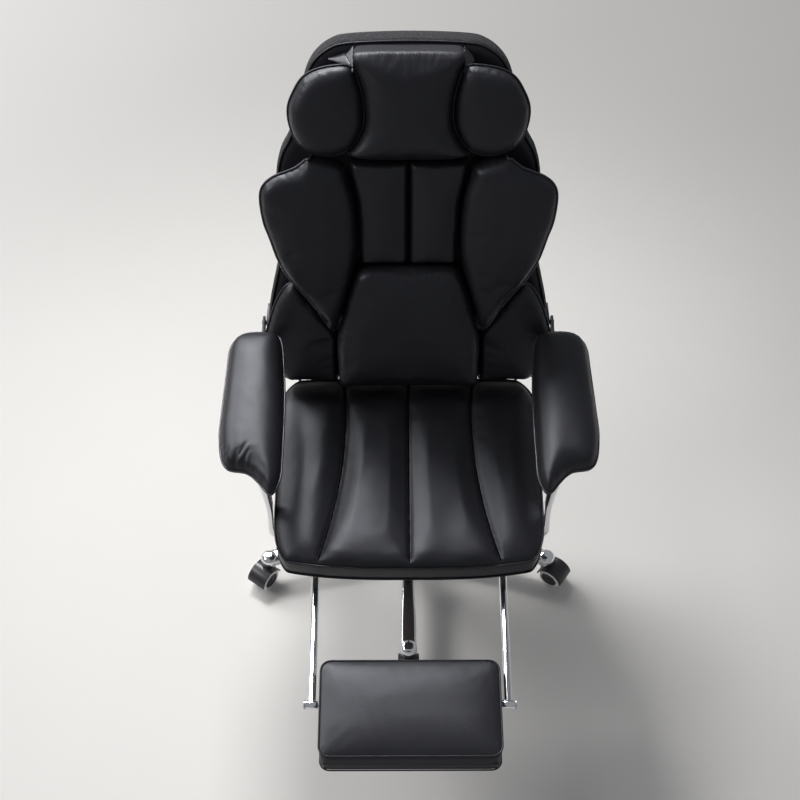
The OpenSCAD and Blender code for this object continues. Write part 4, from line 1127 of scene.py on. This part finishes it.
def make_lumbar(sim):
    """The lumbar pad, gathered along its upper seam."""
    spots = [(x, 298, 34, depth, 1.8, 11, 105 + x) for x, depth in ((-70, 18), (4, 14), (60, 30))]
    back_pad("lumbar", both_sides(LUMBAR), [(9, 0.4), (1, 16), (-0.5, 34)], crowned(54, 72, 18, 9), sim,
             spots, "lumbar_pad", 6.5)


def head_top(corners, gap, _):
    """Face heights of the head panel, whose edge rolls further the higher it is."""
    roll = np.interp(corners[:, 1], [560, 640, 748], [24, 24, 74])
    return 58 + 18 * rolled(gap, roll, 1.9) + 8 * (1 - (1 - gap / gap.max()) ** 2)


def make_head(sim):
    """The head panel, gathered along its upper seam."""
    spots = [(x, 748, 44, 44, 0.8, 15, 405 + x) for x in (-66, 0, 62)]
    back_pad("head_cushion", both_sides(HEAD), [(6, 0.4), (0, 14), (-0.5, 40)], head_top, sim, spots,
             "head_panel", 6.5)


SIDES = ((1, "right"), (-1, "left"))


class CHAIR_OT_back_pads(Piece, Operator):
    """Stuff the pads of the back: wings, lower sides, middle channels, lumbar, head panel and bolsters"""

    bl_idname = "chair.back_pads"
    bl_label = "Back pads"

    def execute(self, context):
        covers = context.scene.chair_covers
        sim = (covers.pressure, covers.growth, 6, 1)
        for side, name in SIDES:
            make_wing(side, name, covers.welt, sim)
            make_bolster(side, name, covers.welt, sim)
            make_head_folds(side, name)
        for side, name in SIDES:
            make_side_pad(side, name, covers.welt, sim)
        for side, name in SIDES:
            make_channel(side, name, sim)
        make_lumbar(sim)
        make_head(sim)
        return {"FINISHED"}


# Where an arm pad is gathered: (u, v, depth, seed)
ARM_SPOTS = ((270, -262, 12, 31), (296, -240, 14, 37), (334, -214, 14, 43), (300, 106, 12, 51))
# The curved folds at the front of the left arm pad, as the function folds takes them
LEFT_ARM_FOLDS = (
    ((-353, -222), (-318, -172), 2.6, 4.0, 4),
    ((-337, -224), (-334, -184), 2.2, 3.6, -3),
    ((-322, -224), (-314, -190), 1.8, 3.4, -2),
    ((-366, -206), (-352, -176), 1.6, 3.6, 2),
)


class CHAIR_OT_arms(Piece, Operator):
    """Pad the arms, with gathers at their fronts and two welts round each"""

    bl_idname = "chair.arms"
    bl_label = "Arm pads"

    def execute(self, context):
        covers = context.scene.chair_covers
        for side, name in SIDES:
            arm = "arm_" + name
            outline = handed(ARM, side)
            spots = [(side * u, v, 26, depth, 1.5, 10, seed + side) for u, v, depth, seed in ARM_SPOTS]
            pad = stuff(arm + "_pad", LEVEL, outline, [(4, 596.3), (0.4, 598.5), (0, 603)],
                        crowned(608, 636, 40, 4), PAINTS["leather"], (), 6.0, (covers.pressure, 0.0, 5, 3),
                        gathered(spots, LEFT_ARM_FOLDS if side < 0 else None), lumps=0.4)
            dress(pad, arm, "arm_pad_" + name, fill=0.8)
            piping(arm + "_welt", rim_line(LEVEL, outline, 606.5, -0.4), arm, covers.welt, finish="welt")
            piping(arm + "_foot_welt", rim_line(LEVEL, outline, 599.3, 1.3), arm, 1.4)
        return {"FINISHED"}


# The footrest pad's size, in millimetres: its seam runs round it at the top and its foot reaches further
FOOTREST_HALF = 173
FOOTREST_FRONT = -723
FOOTREST_FOOT_FRONT = -737
FOOTREST_REAR = -526
FOOTREST_SEAM = 402
FOOTREST_CORNER = 20


def footrest_outline(front):
    """A rounded rectangle that ends at the front given."""
    half, rear = FOOTREST_HALF - FOOTREST_CORNER, FOOTREST_REAR - FOOTREST_CORNER
    front += FOOTREST_CORNER
    corners = [(half, rear), (-half, rear), (-half, front), (half, front)]
    turns = [(x, y, math.radians(90 * k + a)) for k, (x, y) in enumerate(corners) for a in range(0, 91, 15)]
    line = [(x + FOOTREST_CORNER * math.cos(a), y + FOOTREST_CORNER * math.sin(a)) for x, y, a in turns]
    return even(np.array(line), 8, True)


def footrest_top(corners, gap, _):
    """Face heights of the footrest: a pillow, highest in the middle."""
    middle = (FOOTREST_FRONT + FOOTREST_REAR) / 2
    across, along = np.abs(corners[:, 0]) / 174, np.abs(corners[:, 1] - middle) / 99
    bulge = np.clip((1 - across ** 6) * (1 - along ** 4), 0, 1) ** 0.7
    return FOOTREST_SEAM + 10 * bulge * rolled(gap, 16)


class CHAIR_OT_footrest(Piece, Operator):
    """Pad the footrest, with a welt round its seam and one round its foot"""

    bl_idname = "chair.footrest"
    bl_label = "Footrest pad"

    def execute(self, context):
        outline = footrest_outline(FOOTREST_FRONT)
        spots = [(x, y, 30, 14, 0.8, 10, 7) for x in (-165, 165) for y in (-714, -534)]
        pad = stuff("footrest_cushion", LEVEL, outline, [(8, 362.4), (0.5, 366), (-0.4, 384)], footrest_top,
                    PAINTS["leather"], (), 6.0, (context.scene.chair_covers.pressure, 0.0, 3, 3),
                    gathered(spots), (0.39, FOOTREST_SEAM, -702, -1), 0.25)
        dress(pad, "footrest", "footrest_pad", fill=0.8)
        foot = footrest_outline(FOOTREST_FOOT_FRONT)
        piping("footrest_welt", rim_line(LEVEL, outline, FOOTREST_SEAM + 0.2, -0.3), "footrest", 1.8)
        piping("footrest_foot_welt", rim_line(LEVEL, foot, 366, 1.0), "footrest", 1.5)
        return {"FINISHED"}


# The star base
LEGS = 5
STEM_REACH = 330
LEG_FOOT = 62


def leg_section(half, height):
    """A leg's closed section as (across, height): rounded shoulders, a low ridge, and hollow below."""
    corner = 7.0
    section = [(half, LEG_FOOT)]
    section += [(half - corner + corner * math.cos(a), height - 5 + 5 * math.sin(a))
                for a in np.linspace(0, math.pi / 2, 7)]
    section += [(0, height + 0.8)]
    section += [(-y, z) for y, z in section[-2::-1]]
    section += [(-half + 4, LEG_FOOT), (-half + 4, height - 7), (0, height - 5), (half - 4, height - 7),
                (half - 4, LEG_FOOT)]
    return section


def leg(angle):
    """Points and faces of one leg: its waist is narrow and its top falls outwards."""
    along = np.array([math.cos(angle), math.sin(angle), 0])
    across = np.array([-math.sin(angle), math.cos(angle), 0])
    r = np.linspace(24, 322, 40)
    width = np.interp(r, [24, 80, 150, 200, 258, 322], [44, 35, 28, 28.6, 34, 34])
    width = np.convolve(np.pad(width, 4, "edge"), np.ones(9) / 9, "valid")
    share = np.clip((r - 34) / 296, 0, 1)
    top = 112 - 32 * (1 - (1 - share) ** 1.6)
    rings = [[along * x + across * y + (0, 0, z) for y, z in leg_section(half, height)]
             for x, half, height in zip(r, width / 2, top)]
    m, n = len(rings[0]), len(rings)
    faces = [(a * m + i, a * m + (i + 1) % m, (a + 1) * m + (i + 1) % m, (a + 1) * m + i)
             for a in range(n - 1) for i in range(m)]
    faces += [tuple(range(m))[::-1], tuple(range((n - 1) * m, n * m))]
    return np.vstack(rings) * MM, faces


def stem_dome(angle):
    """Points and faces of the dome over a caster's stem."""
    radius, edge = 19, 13
    dome = [(5.6, 60), (18.3, 60), (radius, 61), (radius, 74)]
    dome += [(radius - edge + edge * math.cos(a), 73 + edge * math.sin(a))
             for a in np.linspace(0.1, math.pi / 2, 10)]
    dome += [(0, 86.2), (0, 80), (5.6, 80)]
    return lathe(dome, (STEM_REACH * math.cos(angle), STEM_REACH * math.sin(angle), 0))


def leg_angle(number):
    """The direction of a leg, from 0 to 4; the first points forward."""
    return math.radians(-90 + 360 / LEGS * number)


class CHAIR_OT_base(Piece, Operator):
    """Cast the star base: hub, five legs with flat tops and drawn-in waists, and a dome over each stem"""

    bl_idname = "chair.base"
    bl_label = "Star base"

    def execute(self, context):
        parts = [lathe([(25.1, 50), (31, 50), (34, 53), (34, 104), (32.5, 110), (29, 115), (25.1, 116)])]
        for number in range(LEGS):
            parts += [leg(leg_angle(number)), stem_dome(leg_angle(number))]
        base = joined("star_base_casting", parts, PAINTS["chrome"], 30)
        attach(base, "base")
        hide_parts("star_base")
        return {"FINISHED"}


# How far each caster is turned from its leg, in degrees, and where its axle lies
CASTER_TURNS = (0, -17, 60, -35, 35)
AXLE_HEIGHT = 26
AXLE_TRAIL = 23
# The dark cap of a wheel: (radius, distance from the caster's middle)
WHEEL_CAP = [(0, 20.1), (18.7, 20.1), (18.7, 22.0), (17.6, 22.8), (15.5, 22.9), (14.6, 22.2), (9, 21.9),
             (8, 22.6), (0, 23.0)]


def make_hood(number):
    """A caster's hood: the CAD one with its edges rounded further."""
    hood = frame["nodes"][f"caster_hood_{number}"].copy()
    hood.data = hood.data.copy()
    hood.modifiers["edge"].width = 4.5 * MM
    hood.modifiers["edge"].segments = 5
    bpy.context.scene.collection.objects.link(hood)
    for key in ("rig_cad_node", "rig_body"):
        del hood[key]
    hood.parent = None
    hood.name = f"hood_{number}"
    bpy.context.view_layer.update()
    settled(hood)
    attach(hood, f"caster_{number}")
    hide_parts(f"caster_hood_{number}")


class CHAIR_OT_casters(Piece, Operator):
    """Round the caster hoods and fit the dark caps of the wheels"""

    bl_idname = "chair.casters"
    bl_label = "Casters"

    def execute(self, context):
        for number, turn in enumerate(CASTER_TURNS):
            a = leg_angle(number)
            facing = a + math.radians(90 + turn)
            across = np.array([math.cos(facing), math.sin(facing), 0])
            trail = np.array([math.sin(facing), -math.cos(facing), 0])
            axle = np.array([STEM_REACH * math.cos(a), STEM_REACH * math.sin(a), AXLE_HEIGHT])
            axle = axle + trail * AXLE_TRAIL
            make_hood(number + 1)
            for side, name in ((-1, "left"), (1, "right")):
                made = joined(f"wheel_cap_{name}_{number + 1}",
                              [lathe(WHEEL_CAP, tuple(axle), tuple(across * side))], PAINTS["black_plastic"])
                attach(made, f"caster_wheel_{name}_{number + 1}")
        return {"FINISHED"}


def lay_floor(tone, size=14.0, drop=0.0003):
    """A plain floor just below the wheels, with faint clouds in its colour."""
    corners = [(-size, -size, -drop), (size, -size, -drop), (size, size, -drop), (-size, size, -drop)]
    floor = new_object("floor", corners, [(0, 1, 2, 3)])
    paint = Paint("pale floor", Roughness=0.7)
    paint.colour(paint.noise(1.4, 3.0), [c * 0.96 for c in tone], [c * 1.04 for c in tone])
    floor.data.materials.append(paint.relief((paint.noise(300.0, 3.0), 0.1)))


def light_room(scene, strength):
    """Soft light from all round."""
    world = bpy.data.worlds.new("room")
    scene.world = world
    world.use_nodes = True
    background = world.node_tree.nodes["Background"].inputs
    background["Color"].default_value = (0.86, 0.88, 0.92, 1)
    background["Strength"].default_value = strength


def aimed(obj, place, way):
    """Puts a lamp or camera in its place, facing the way given."""
    obj.location = place
    obj.rotation_mode = "QUATERNION"
    obj.rotation_quaternion = way.to_track_quat("-Z", "Y")
    bpy.context.scene.collection.objects.link(obj)


def hang_lamp(name, place, target, size, energy, spread=180):
    """A rectangular lamp that faces its target; size is (width, height) in metres."""
    lamp = bpy.data.lights.new(name, "AREA")
    lamp.spread = math.radians(spread)
    lamp.shape = "RECTANGLE"
    lamp.size, lamp.size_y = size
    lamp.energy = energy
    aimed(bpy.data.objects.new(name, lamp), place, Vector(target) - Vector(place))


# The photograph's camera: its place in metres, and its pitch and turn in degrees
CAMERA_PLACE = (-0.024, -1.943, 3.216)
CAMERA_PITCH = 54.013
CAMERA_TURN = 0.188


def set_camera(scene):
    """The camera of the photograph's view."""
    lens = bpy.data.cameras.new("camera")
    lens.lens, lens.sensor_width, lens.clip_end = 72, 36, 60
    camera = bpy.data.objects.new("camera", lens)
    pitch, yaw = math.radians(CAMERA_PITCH), math.radians(CAMERA_TURN)
    way = Vector((math.sin(yaw) * math.cos(pitch), math.cos(yaw) * math.cos(pitch), -math.sin(pitch)))
    aimed(camera, CAMERA_PLACE, way)
    scene.camera = camera


class CHAIR_OT_stage(Piece, Operator):
    """Lay a plain pale floor and set the soft lights and the camera"""

    bl_idname = "chair.stage"
    bl_label = "Stage"

    def execute(self, context):
        values = context.scene.chair_stage
        lay_floor(values.floor)
        light_room(context.scene, values.sky)
        hang_lamp("window", (-3.4, 3.4, 3.6), (-0.05, -0.1, 0.5), (3.0, 2.4), values.key)
        hang_lamp("high", (-0.65, 1.95, 3.1), (0, -0.3, 0.45), (1.0, 0.7), values.top, 60)
        hang_lamp("side", (-2.8, -0.2, 2.9), (0, 0, 0.4), (1.4, 1.4), values.fill)
        set_camera(context.scene)
        context.scene.view_settings.view_transform = "Standard"
        return {"FINISHED"}


OPERATORS = (CHAIR_OT_finishes, CHAIR_OT_base, CHAIR_OT_casters, CHAIR_OT_seat, CHAIR_OT_footrest,
             CHAIR_OT_back, CHAIR_OT_back_pads, CHAIR_OT_arms, CHAIR_OT_stage)


class CHAIR_PT_panel(Panel):
    """Lists the chair's settings and pieces in the sidebar"""

    bl_label = "Chair"
    bl_space_type = "VIEW_3D"
    bl_region_type = "UI"
    bl_category = "Chair"

    def draw(self, context):
        for group in (context.scene.chair_covers, context.scene.chair_metal, context.scene.chair_stage):
            box = self.layout.box()
            for key in group.__annotations__:
                box.prop(group, key)
        for operator in OPERATORS:
            self.layout.operator(operator.bl_idname)


GROUPS = {"chair_covers": CoverSettings, "chair_metal": MetalSettings, "chair_stage": StageSettings}


def register():
    """Registers the settings, the operators and the panel."""
    for kind in (*GROUPS.values(), *OPERATORS, CHAIR_PT_panel):
        bpy.utils.register_class(kind)
    for key, kind in GROUPS.items():
        setattr(bpy.types.Scene, key, PointerProperty(type=kind))


def unregister():
    """Takes back what register does."""
    for key in GROUPS:
        delattr(bpy.types.Scene, key)
    for kind in (CHAIR_PT_panel, *OPERATORS[::-1], *GROUPS.values()):
        bpy.utils.unregister_class(kind)


def main():
    """Builds the chair and its stage."""
    register()
    for operator in OPERATORS:
        getattr(bpy.ops.chair, operator.bl_idname.split(".")[1])()


if __name__ == "__main__":
    main()
